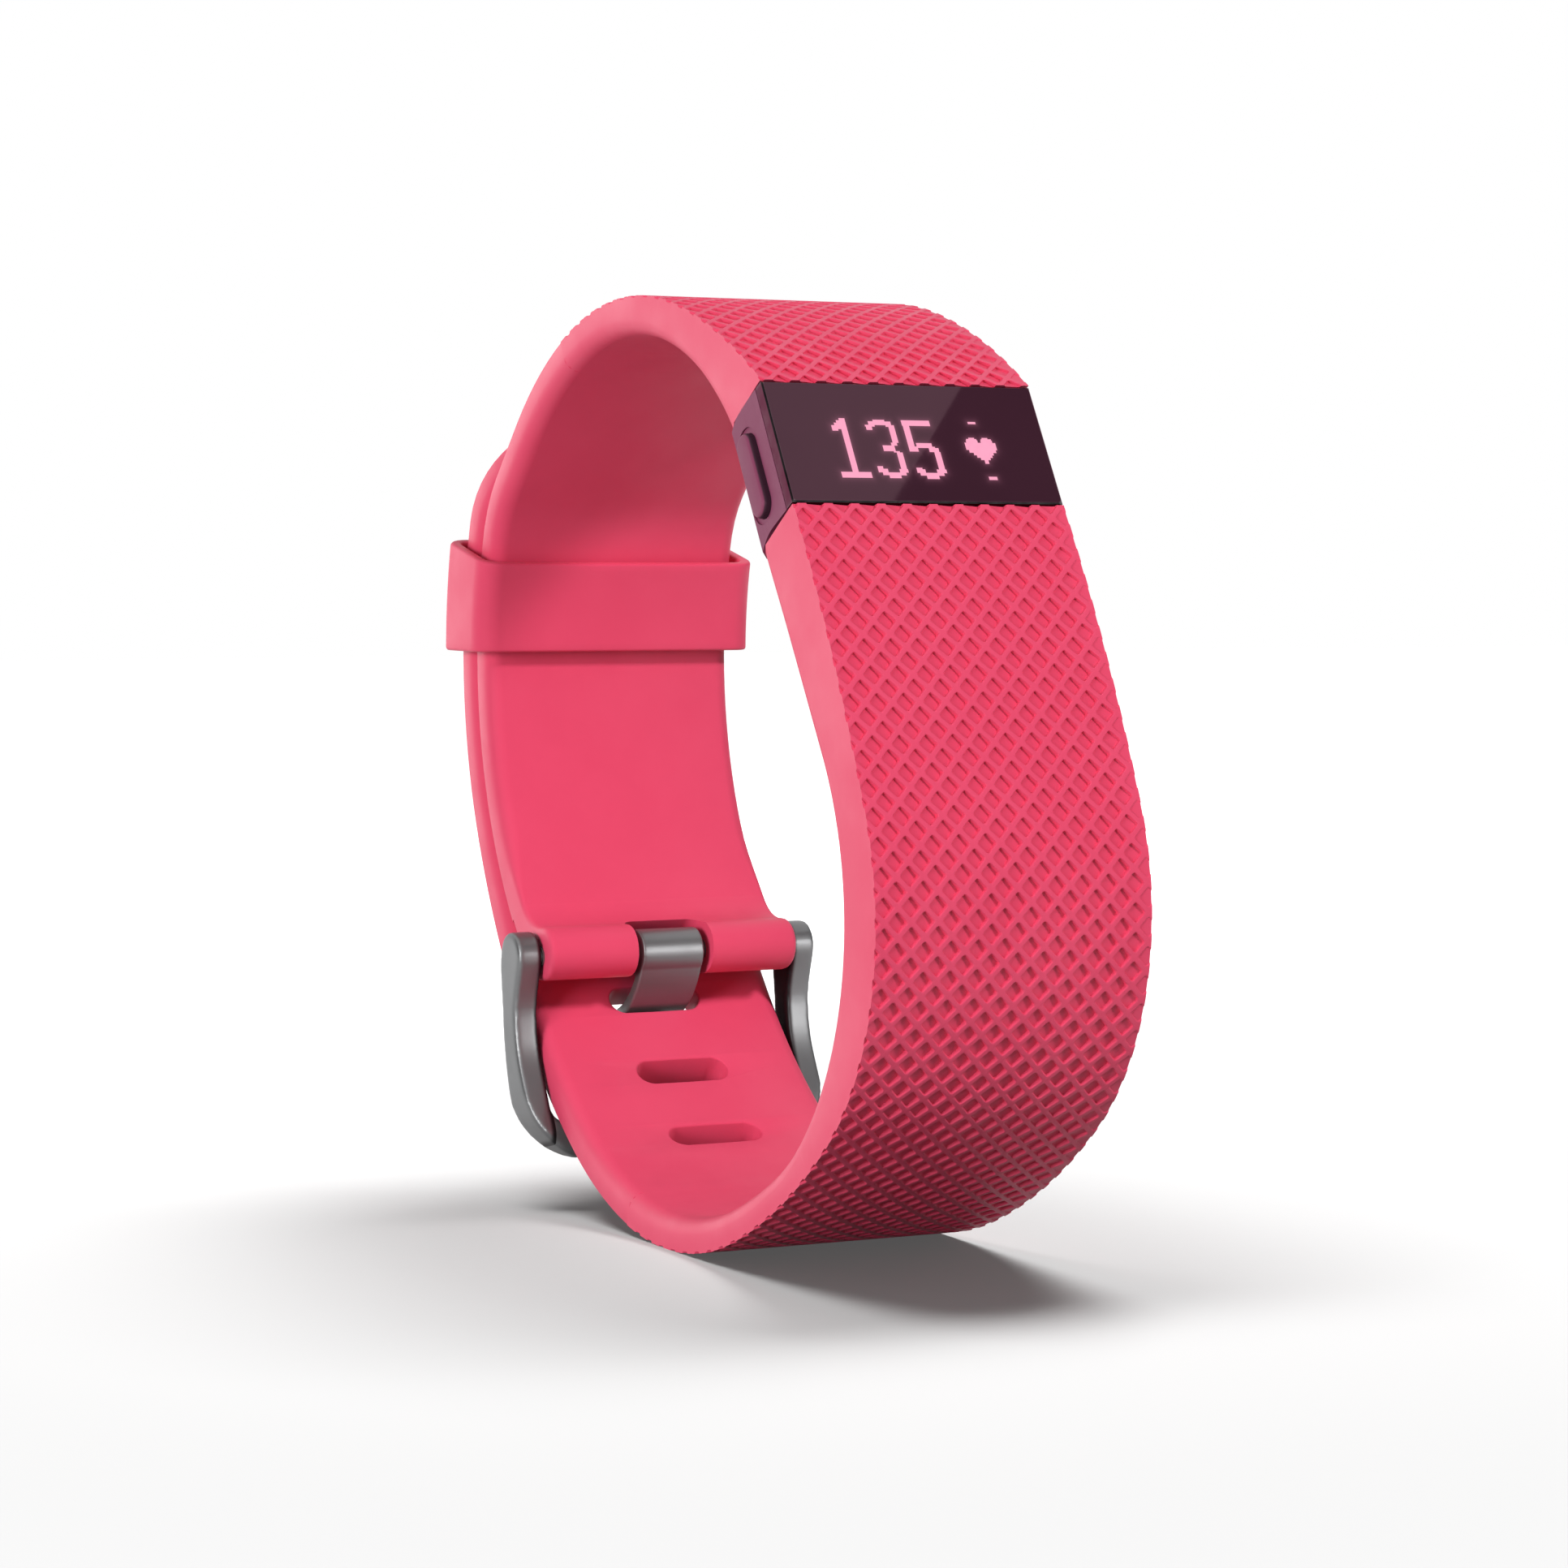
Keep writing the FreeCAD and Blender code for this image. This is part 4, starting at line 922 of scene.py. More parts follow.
@dataclass(frozen=True)
class Satin(Finish):
    """Satin moulded plastic of the module."""

    name: str = "case_satin"
    shade: Colour = (0.262, 0.062, 0.124)
    second: Colour = (0.25, 0.058, 0.117)
    rubbed: Colour = (0.36, 0.15, 0.23)
    rough: Point = (0.38, 0.46)
    specular: float = 0.2
    grain: float = 12000.0


@dataclass(frozen=True)
class SatinPill(Satin):
    """Satin of the button; the wall in its recess is painted shade, near black. Places are millimetres across."""

    name: str = "button_satin"
    # Painted shade: near black painted on the button's side wall.
    wall: Colour = (0.045, 0.016, 0.03)
    face_ends: float = -10.898
    wall_starts: float = -10.768

    def colour(self, nodes: Nodes, surface: Node) -> Socket:
        """Face and wall, with the wall's painted shade, told apart by place across the band."""
        across = nodes.maths("DIVIDE", nodes.part("X", nodes.place()), MM)
        wall = nodes.ramp(across, self.face_ends, self.wall_starts)
        return nodes.mix(wall, super().colour(nodes, surface), self.wall)


@dataclass(frozen=True)
class Steel(Finish):
    """Polished steel with hairlines across the band."""

    name: str = "polished_steel"
    shade: Colour = (0.175, 0.177, 0.18)
    second: Colour = (0.17, 0.172, 0.175)
    rubbed: Colour = (0.19, 0.192, 0.195)
    wear: float = 0.1
    # Painted dark reflection: near black painted on the arms' inner faces.
    dark: Colour = (0.012, 0.011, 0.012)
    rough: Point = (0.34, 0.38)
    metal: float = 0.75
    depth: float = 0.0004
    inner_face: float = 10.72
    face_starts: Point = (-0.06, -0.03)
    face_ends: Point = (0.5, 0.1)
    hairline: float = 9000.0
    drawn: float = 0.04
    grain_share: float = 0.2

    def colour(self, nodes: Nodes, surface: Node) -> Socket:
        """Steel, with a painted dark reflection: the inner faces of the frame's arms are painted near black."""
        # Mask of the painted dark reflection, on the arms' inner faces.
        across = nodes.maths("DIVIDE", nodes.maths("ABSOLUTE", nodes.part("X", nodes.place())), MM)
        inside = nodes.maths("MULTIPLY", *(nodes.ramp(across, *(self.inner_face + off for off in pair))
                                           for pair in (self.face_ends, self.face_starts)))
        return nodes.mix(inside, super().colour(nodes, surface), self.dark)

    def height(self, nodes: Nodes, surface: Node) -> Socket:
        """Fine lines drawn out across the band."""
        place = nodes.add("Mapping", {"Vector": nodes.place(), "Scale": (self.drawn, 1.0, 1.0)})
        lines = nodes.add("TexNoise", {"Vector": place.outputs["Vector"], "Scale": self.hairline})
        return nodes.maths("ADD", lines.outputs["Fac"],
                           nodes.maths("MULTIPLY", surface.outputs["Height"], self.grain_share))


@dataclass(frozen=True)
class Foil(Finish):
    """Thin metal foil, creased."""

    crease: float = 420.0

    def height(self, nodes: Nodes, surface: Node) -> Socket:
        """Creases between flat facets."""
        cells = nodes.add("TexVoronoi", {"Vector": nodes.place(), "Scale": self.crease})
        return nodes.maths("ADD", cells.outputs["Distance"], surface.outputs["Height"])


@dataclass(frozen=True)
class Circuit(Finish):
    """Solder mask over copper tracks."""

    track: Colour = (0.02, 0.16, 0.09)
    pitch: float = 900.0
    track_width: float = 0.06

    def colour(self, nodes: Nodes, surface: Node) -> Socket:
        """Tracks that run across the board."""
        cells = nodes.add("TexBrick", {
            "Vector": nodes.place(), "Scale": self.pitch, "Mortar Size": self.track_width,
            "Color1": (0.0, 0.0, 0.0), "Color2": (0.0, 0.0, 0.0), "Mortar": (1.0, 1.0, 1.0)})
        return nodes.mix(cells.outputs["Fac"], super().colour(nodes, surface), self.track)


@dataclass(frozen=True)
class Lit(Finish):
    """Lit figures of the display, a little uneven."""

    name: str = "lit_figures"
    shade: Colour = (1.0, 0.405, 0.58)
    second: Colour = (1.0, 0.385, 0.56)
    unlit: Colour = (0.02, 0.01, 0.012)
    rough: Point = (0.6, 0.6)
    specular: float = 0.0
    mottle: float = 2400.0

    def paint(self, nodes: Nodes, shader: Node) -> None:
        """Light in place of a painted colour."""
        nodes.fill(shader, {"Emission Color": self.colour(nodes, self.surface(nodes)), "Emission Strength": 1.0,
                            "Base Color": self.unlit, "Roughness": self.rough[1]})


@dataclass(frozen=True)
class TintedGlass(Finish):
    """Dark tinted window: opaque, mirror smooth, with a bright side between dark lines and the figures' halo.

    Each pair of depths, in millimetres below the face, is where a part of the window starts and is complete.
    """

    loop: Loop = field(default_factory=Loop)
    name: str = "tinted_window"
    shade: Colour = (0.046, 0.015, 0.026)
    second: Colour = (0.043, 0.014, 0.0245)
    side: Colour = (0.085, 0.024, 0.042)
    line: Colour = (0.006, 0.002, 0.004)
    halo: Colour = (0.1, 0.035, 0.055)
    rough: Point = (0.012, 0.03)
    mottle: float = 90.0
    specular: float = 0.42
    gloss: Colour = (1.0, 0.53, 0.66)
    depth: float = 0.0
    side_at: Point = (0.1, 0.14)
    line_at: Point = (0.004, 0.02)
    line_ends: Point = (0.17, 0.13)
    metal_at: Point = (0.002, 0.012)

    def below(self, nodes: Nodes) -> Socket:
        """Depth below the face in millimetres."""
        place = nodes.add("Mapping")
        place.vector_type = "TEXTURE"
        middle, tilt = self.loop.module, math.radians(self.loop.tilt)
        nodes.fill(place, {"Location": (0.0, middle[0] * MM, middle[1] * MM), "Rotation": (tilt, 0.0, 0.0),
                           "Vector": nodes.place()})
        return nodes.maths("DIVIDE", nodes.part("Z", place.outputs["Vector"]), -MM)

    def colour(self, nodes: Nodes, surface: Node) -> Socket:
        """Face, side and edge line, told apart by depth below the face."""
        below = self.below(nodes)
        body = nodes.mix(nodes.ramp(below, *self.side_at), super().colour(nodes, surface), self.side)
        edge = nodes.maths("MULTIPLY", nodes.ramp(below, *self.line_at), nodes.ramp(below, *self.line_ends))
        return nodes.mix(edge, body, self.line)

    def paint(self, nodes: Nodes, shader: Node) -> None:
        """Adds the metallised side and the halo round the lit figures."""
        super().paint(nodes, shader)
        nodes.fill(shader, {"Metallic": nodes.ramp(self.below(nodes), *self.metal_at), "Emission Strength": 1.0,
                            "Emission Color": nodes.mix(nodes.stored("glow"), (0.0, 0.0, 0.0), self.halo)})


# Shades, wear and roughness of moulded black rubber.
RUBBER = ((0.015, 0.015, 0.017), (0.02, 0.02, 0.022), (0.05, 0.05, 0.05), 0.2, (0.6, 0.7))

# Finishes of the CAD nodes that keep their own shape.
KEPT: dict[str, Finish] = {
    "module_case": Satin(),
    "rear_cover": Satin("cover_satin", (0.25, 0.085, 0.145), (0.235, 0.08, 0.136)),
    "sensor_window": Finish("sensor_lens", (0.012, 0.01, 0.012), (0.016, 0.012, 0.015), (0.05, 0.04, 0.05), 0.2,
                            (0.05, 0.1), coat=0.6, depth=0.001),
    "charging_contacts": Finish("gold_plating", (0.83, 0.58, 0.24), (0.75, 0.5, 0.2), (0.9, 0.7, 0.4), 0.4,
                                (0.18, 0.3), 1.0, mottle=900.0),
    "cover_screws": Finish("screw_steel", (0.5, 0.5, 0.51), (0.42, 0.42, 0.43), (0.68, 0.68, 0.69), 0.6,
                           (0.25, 0.38), 1.0, mottle=1200.0),
    "window_adhesive": Finish("foam_tape", (0.012, 0.01, 0.012), (0.02, 0.017, 0.02), (0.03, 0.03, 0.03), 0.1,
                              (0.85, 0.95), grain=4000.0, depth=0.03),
    "display_panel": Finish("panel_glass", (0.01, 0.008, 0.01), (0.014, 0.011, 0.013), (0.05, 0.05, 0.05), 0.2,
                            (0.04, 0.08), coat=0.5, depth=0.0005),
    "display_flex": Finish("amber_film", (0.42, 0.16, 0.015), (0.36, 0.13, 0.012), (0.5, 0.25, 0.05), 0.2,
                           (0.22, 0.32), coat=0.3, mottle=700.0),
    "circuit_board": Circuit("solder_mask", (0.006, 0.09, 0.045), (0.005, 0.08, 0.04), (0.2, 0.16, 0.06), 0.3,
                             (0.25, 0.35)),
    "battery": Foil("cell_foil", (0.62, 0.63, 0.65), (0.56, 0.57, 0.59), (0.75, 0.75, 0.76), 0.3, (0.28, 0.42), 1.0,
                    depth=0.03),
    "vibration_motor": Steel("motor_steel", rough=(0.3, 0.42)),
    "button_seal": Finish("button_silicone", *RUBBER, depth=0.006),
    "cover_gasket": Finish("gasket_silicone", *RUBBER, depth=0.006),
    "button_switch": Finish("switch_body", (0.01, 0.01, 0.01), (0.014, 0.014, 0.014), (0.05, 0.05, 0.05), 0.3,
                            (0.4, 0.5)),
    "light_shield": Finish("shield_black", (0.008, 0.008, 0.008), (0.012, 0.012, 0.012), (0.04, 0.04, 0.04), 0.3,
                           (0.7, 0.8)),
    "photodiode": Finish("diode_black", (0.01, 0.01, 0.012), (0.02, 0.018, 0.025), (0.05, 0.05, 0.06), 0.3,
                         (0.1, 0.18), coat=0.4),
    "sensor_leds": Finish("led_lens", (0.2, 0.55, 0.2), (0.16, 0.5, 0.17), (0.4, 0.7, 0.4), 0.2, (0.08, 0.14),
                          coat=0.5),
}


def dress_kept(nodes: dict[str, Piece]) -> None:
    """Gives the CAD nodes that keep their shape a finish in their own slots."""
    for name, finish in KEPT.items():
        piece = nodes[name]
        for slot in piece.material_slots:
            slot.material = finish.material()
        LOG.info("%s: keeps its shape, finish %s", name, finish.name)


# ---------------------------------------------------------------- straps


class Wrap:
    """Bends a flat strap, x across, y along and -z deep, round the loop with its true thickness."""

    def __init__(self, outer: Outline, inner: Outline, seam: Outline, outward_turn: float, even_from: float,
                 flat: float = 2.5) -> None:
        """Measures the strap.

        Args:
            outer: Outer face.
            inner: Skin face.
            seam: Line of the strap's end at the module.
            outward_turn: From the outer face's heading to its outward normal, in degrees.
            even_from: Distance from which the strap keeps its flat thickness.
            flat: Thickness of the flat piece.
        """
        self.outer, self.seam, self.turn, self.even_from, self.flat = outer, seam, outward_turn, even_from, flat
        self.blend, self.lid, self.foot, self.step = 8.0, 0.9, 1.2, 0.5
        skin = inner.points(0.8)
        self.depths = [self._crossing(i * self.step, skin) for i in range(int(even_from / self.step) + 2)]

    def _ray(self, along: float, depth: float) -> Point:
        """Point at a depth under the outer face; near the module the way down leans with the seam."""
        top, heading = self.outer.at(along)
        square = ahead(top, heading + self.turn, -depth)
        share = 1 - along / self.blend
        if share <= 0:
            return square
        share = smooth(min(1.0, share))
        start, lean = self.seam.runs[0].point, self.seam.at(depth)[0]
        return tuple(square[i] * (1 - share) + (top[i] + lean[i] - start[i]) * share for i in (0, 1))

    def _crossing(self, along: float, inner: list[Point]) -> float:
        """Depth at which the way down meets the skin face."""
        middle = self._ray(along, self.flat)
        near = min(range(len(inner)), key=lambda i: math.dist(inner[i], middle))
        window = inner[max(0, near - 12):near + 13]

        def side(depth: float) -> float:
            """Above or below 0 on the two sides of the skin face."""
            point = self._ray(along, depth)
            i = min(range(len(window)), key=lambda k: math.dist(window[k], point))
            a, b = window[max(0, min(i, len(window) - 2))], window[max(1, min(i + 1, len(window) - 1))]
            return (b[0] - a[0]) * (point[1] - a[1]) - (b[1] - a[1]) * (point[0] - a[0])

        start, depth = side(1.0), 1.0
        while side(depth) * start > 0 and depth < 10:
            depth += 0.1
        low, high = depth - 0.1, depth
        for _ in range(12):
            middle_depth = (low + high) / 2
            low, high = (middle_depth, high) if side(middle_depth) * start > 0 else (low, middle_depth)
        return low

    def thickness(self, along: float) -> float:
        """Local thickness of the strap."""
        if along >= self.even_from:
            return self.flat
        place = max(0.0, along) / self.step
        low = int(place)
        return self.depths[low] + (self.depths[low + 1] - self.depths[low]) * (place - low)

    def __call__(self, point: Vector) -> Vector:
        """Place of a point of the flat strap, in metres."""
        depth, thick = -point.z, self.thickness(point.y)
        if depth > self.flat - self.foot:
            depth += thick - self.flat
        elif depth > self.lid:
            share = (depth - self.lid) / (self.flat - self.foot - self.lid)
            depth = self.lid + share * (thick - self.foot - self.lid)
        y, z = self._ray(point.y, depth)
        return Vector((point.x, y, z)) * MM


@dataclass(frozen=True)
class Pits:
    """Diamond pits pressed into the outer face, in rows that step half a pitch.

    Each loss is the width over which a pit grows shallower beyond an edge, and how much of its depth it loses.
    """

    across: float = 2.01
    along: float = 2.0
    start: Point = (0.2, 1.04)
    rib: float = 0.27
    corner: float = 0.2
    lip: float = 0.04
    lip_depth: float = 0.04
    wall: float = 0.06
    depth: float = 0.38
    floor: float = 0.1
    far_edge: float = 9.2
    near_edge: float = -9.8
    shallow: float = 0.3
    middle: float = 0.62
    rise: float = 0.8
    far_loss: Point = (1.0, 0.7)
    near_loss: Point = (0.6, 0.5)
    dish: float = 0.08
    margin: float = 2.5
    last_gap: float = 0.3
    least_area: float = 0.5
    deepest: float = 1.05
    # Share of the pit depth at which the painted shade in the pits is full.
    dark_from: float = 0.5

    def lean(self, x: float, y: float) -> float:
        """Share of the full depth at a place: the floors rise towards each pit's left corner."""
        a, b = (x - self.start[0]) / self.across, (y - self.start[1]) / self.along
        centres = ((round(a), round(b)), (math.floor(a) + 0.5, math.floor(b) + 0.5))
        centre = min(centres, key=lambda c: abs(a - c[0]) + abs(b - c[1]))
        share = min(1.0, max(self.shallow, self.middle + self.rise * (a - centre[0])))
        for (width, loss), past in ((self.far_loss, x - self.far_edge), (self.near_loss, self.near_edge - x)):
            share *= 1.0 - loss * min(1.0, max(0.0, past / width))
        return share

    def sheet(self, name: str, half_width: float, end: float) -> Piece:
        """Flat sheet of pits across the strap, from the module to an end, at z 0 and below.

        Args:
            name: Name of the piece.
            half_width: Half the strap's width.
            end: Distance from the module at which the pits stop.
        Returns:
            An open sheet, cut to the strap's plan.
        """
        cells = 2 * ((math.ceil((2 * half_width + end) / 2) + 8) // 2)
        piece = primitive("grid", name, x_subdivisions=cells, y_subdivisions=cells, size=cells * math.sqrt(0.5),
                          rotation=(0, 0, math.pi / 4))
        bpy.ops.object.transform_apply()
        with editing(piece):
            everything()
            bpy.ops.transform.resize(value=(self.across, self.along, 1))
            move(self.start[0], (round(end / 2 / self.along) - 0.5) * self.along + self.start[1])
            trim(-half_width - self.margin, half_width + self.margin, -self.margin, end + self.margin)
            whole = 0.9 * self.across * self.along / 2
            pick(piece, "faces", lambda face: face.calc_area() > whole
                 and face.calc_center_median().y + self.along / 2 < end - self.last_gap)
            inset(self.rib / 2)
            bpy.ops.mesh.select_mode(type="VERT")
            bpy.ops.mesh.bevel(offset=self.corner, segments=2, affect="VERTICES")
            bpy.ops.mesh.select_mode(type="FACE")
            pick(piece, "faces", lambda face: len(face.verts) > 8 and face.calc_area() > self.least_area)
            inset(self.lip, -self.lip_depth)
            inset(self.wall, self.lip_depth - self.depth * (1 - self.dish))
            inset(self.floor, -self.depth * self.dish)
            trim(-half_width, half_width, 0, end)
        for vert in piece.data.vertices:
            vert.co.z *= self.lean(vert.co.x, vert.co.y)
        return piece

    def mark(self, piece: Piece, half_width: float) -> None:
        """Records how deep in a pit each point of a flat strap lies, as the mask for painted shade in the pits."""
        painted_pit_shade = piece.data.attributes.new("painted_pit_shade", "FLOAT", "POINT")
        for vert in piece.data.vertices:
            if abs(vert.co.x) < half_width - 1e-3 and -vert.co.z < self.deepest * self.depth:
                painted_pit_shade.data[vert.index].value = min(1.0, -vert.co.z / (self.dark_from * self.depth))


@dataclass
class Strap:
    """What both straps share: a flat sheet of pits given its sides, and a smooth run."""

    loop: Loop = field(default_factory=Loop)
    pits: Pits = field(default_factory=Pits)
    finish: Elastomer = field(default_factory=Elastomer)
    edge: float = 1.2
    outer_edge: float = 0.12
    wall_start: float = 0.55
    row: float = 1.5

    def textured(self, name: str, end: float) -> Piece:
        """Flat run of strap with pits, from the module to an end."""
        piece = self.pits.sheet(name, self.loop.half_width, end)
        self.thicken(piece, end)
        self.pits.mark(piece, self.loop.half_width)
        return piece

    def finished(self, runs: list[Piece], wrap: Wrap, node: str, more: Callable[[], Piece] | None = None) -> Piece:
        """Bends flat runs round the loop and makes one strap of them.

        Args:
            runs: The flat runs.
            wrap: Carries their points to their places.
            node: CAD node that the strap stands for.
            more: Makes a further piece of the strap, already in its place.
        Returns:
            The strap, with its finish and its body.
        """
        for piece in runs:
            bend(piece, wrap)
            outward(piece, 1e-7)
        strap = join(runs + ([more()] if more else []), f"{node}_skin")
        return dress(settle(strap, 40), self.finish, "strap", "band", node)

    def thicken(self, piece: Piece, end: float) -> None:
        """Gives a sheet of pits its side walls, rounded skin edges and skin face.

        Args:
            piece: Open flat sheet.
            end: Its far end; the near end is at y 0.
        """
        thick, wide = self.loop.thick, self.loop.half_width
        rings = [(self.wall_start, 0.0), (thick - self.edge, 0.0)]
        for angle in (30, 60, 90):
            c, s = unit(angle)
            rings.append((thick - self.edge + self.edge * s, self.edge * (1 - c)))
        with editing(piece, "EDGE"):
            pick(piece, "edges", lambda edge: edge.is_boundary)
            before = 0.0
            for number, (depth, tuck) in enumerate(rings):
                extrude()
                bpy.ops.transform.resize(value=(1, 1, 0), center_override=(0, 0, -depth))
                if number == 0:
                    pick(piece, "edges", lambda edge: edge.verts[0].co.z != edge.verts[1].co.z
                         and any(abs(v.co.z + depth) < NEAR for v in edge.verts)
                         and any(abs(edge.verts[0].co.y - y) < NEAR for y in (0.0, end))
                         and all(abs(v.co.x) < wide - 1e-3 for v in edge.verts))
                    bpy.ops.mesh.dissolve_edges(use_verts=True)
                    pick(piece, "verts", lambda vert: abs(vert.co.z + depth) < NEAR and len(vert.link_edges) == 2
                         and abs(vert.co.x) < wide - 1e-3)
                    bpy.ops.mesh.dissolve_verts()
                for side in (-1, 1):
                    if tuck != before:
                        pick(piece, "verts", lambda vert: abs(vert.co.z + depth) < NEAR and vert.co.x * side > 0)
                        move(side * (before - tuck))
                before = tuck
                pick(piece, "edges", lambda edge: edge.is_boundary)
            pick(piece, "edges", lambda edge: edge.is_boundary and edge.verts[0].co.x * edge.verts[1].co.x > 0)
            bpy.ops.mesh.bridge_edge_loops()
        outward(piece)

    def plain(self, name: str, start: float, end: float) -> Piece:
        """Flat smooth run of strap with rounded skin edges, square at both ends."""
        wide, thick = self.loop.half_width, self.loop.thick
        piece = box(name, (2 * wide, end - start, thick), (0, (start + end) / 2, -thick / 2))
        self.ease(piece, start, end)
        slice_along(piece, 1, stations(start, end, self.row))
        return piece

    def ease(self, piece: Piece, start: float, end: float) -> None:
        """Rounds the long edges of a flat run: wide on the skin side, fine on the outer side."""

        def rim(depth: float) -> Callable[[Edge], bool]:
            """Test for the edges at a depth, but for those across the ends."""
            return lambda edge: (all(abs(v.co.z + depth) < NEAR for v in edge.verts)
                                 and not any(all(abs(v.co.y - y) < NEAR for v in edge.verts) for y in (start, end)))

        bevel_edges(piece, rim(self.loop.thick), self.edge, 4)
        bevel_edges(piece, rim(0.0), self.outer_edge, 2)


@dataclass
class LongStrap(Strap):
    """Long strap: pits from the module to under the buckle, then a smooth run with slots and a round tip."""

    pits_end: float = 82.0
    slot_length: float = 7.6
    slot_width: float = 2.5
    slot_lip: float = 0.16
    slot_lean: float = 0.43
    slot_pitch: float = 7.2
    slot_in_use: int = 2
    slot_angle: float = -48.99
    slot_count: int = 8

    def build(self) -> Piece:
        """Builds the strap in its place."""
        outer, inner = self.loop.long_outer(), self.loop.long_inner()
        wrap = Wrap(outer, inner, self.loop.lower_seam(), -90, sum(run.length for run in outer.runs[:3]))
        textured = self.textured("long_strap_pits", self.pits_end)
        return self.finished([textured, self.tail(outer.length, self.slot_places(outer))], wrap, "long_strap")

    def slot_places(self, outer: Outline) -> list[float]:
        """Distances along the outer face of every slot, set out from the one the tongue is through."""
        inner = self.loop.long_inner()
        used = inner.reach(self.loop.centre, self.slot_angle)
        first = used - self.slot_in_use * self.slot_pitch
        return [outer.nearest(inner.at(first + number * self.slot_pitch)[0]) for number in range(self.slot_count)]

    def tail(self, length: float, slots: list[float]) -> Piece:
        """Flat smooth run with its tip and slots.

        Args:
            length: Distance of the tip from the module.
            slots: Distance of each slot from the module.
        Returns:
            A closed flat piece.
        """
        wide, thick, start = self.loop.half_width, self.loop.thick, self.pits_end
        tip = length - self.loop.tip_length
        piece = primitive("circle", "long_strap_tail", vertices=72, fill_type="NGON")
        with editing(piece, "EDGE"):
            everything()
            bpy.ops.transform.resize(value=(wide, self.loop.tip_length, 1))
            bpy.ops.mesh.bisect(plane_co=(0, 0, 0), plane_no=(0, -1, 0), clear_outer=True)
            everything()
            move(0, tip)
            pick(piece, "edges", lambda edge: all(abs(vert.co.y - tip) < NEAR for vert in edge.verts))
            extrude(0, start - tip)
            bpy.ops.mesh.select_mode(type="FACE")
            everything()
            extrude(0, 0, -thick)
        outward(piece)
        self.ease(piece, start, tip)
        rim = [place for place in slots if place > start + self.slot_width]
        for place in rim:
            cut_away(piece, self.slot_cutter(place, 0.0 if place == slots[self.slot_in_use] else self.slot_lean))
        bevel_edges(piece, lambda edge: all(abs(v.co.z) < NEAR or abs(v.co.z + thick) < NEAR for v in edge.verts)
                    and span(edge, 2) < NEAR and edge.calc_face_angle(0.0) > 0.5
                    and any(abs(v.co.y - place) < self.slot_width for v in edge.verts for place in rim)
                    and all(abs(v.co.x) < self.slot_length * 0.6 for v in edge.verts), self.slot_lip, 3)
        slice_along(piece, 1, stations(start, length, self.row))
        return piece

    def slot_cutter(self, place: float, lean: float) -> Piece:
        """Pill that cuts one slot, with its outer mouth set lower by the lean."""
        tool = primitive("cylinder", "slot_cutter", vertices=32, radius=self.slot_width / 2,
                         depth=6 * self.loop.thick, location=(0, place, 0))
        with editing(tool, "VERT"):
            for side, shift in ((1, -4 * lean), (-1, 2 * lean)):
                pick(tool, "verts", lambda vert: vert.co.z * side > 0)
                move(0, shift)
        stretch(tool, 0, (self.slot_length - self.slot_width) / 2)
        return tool


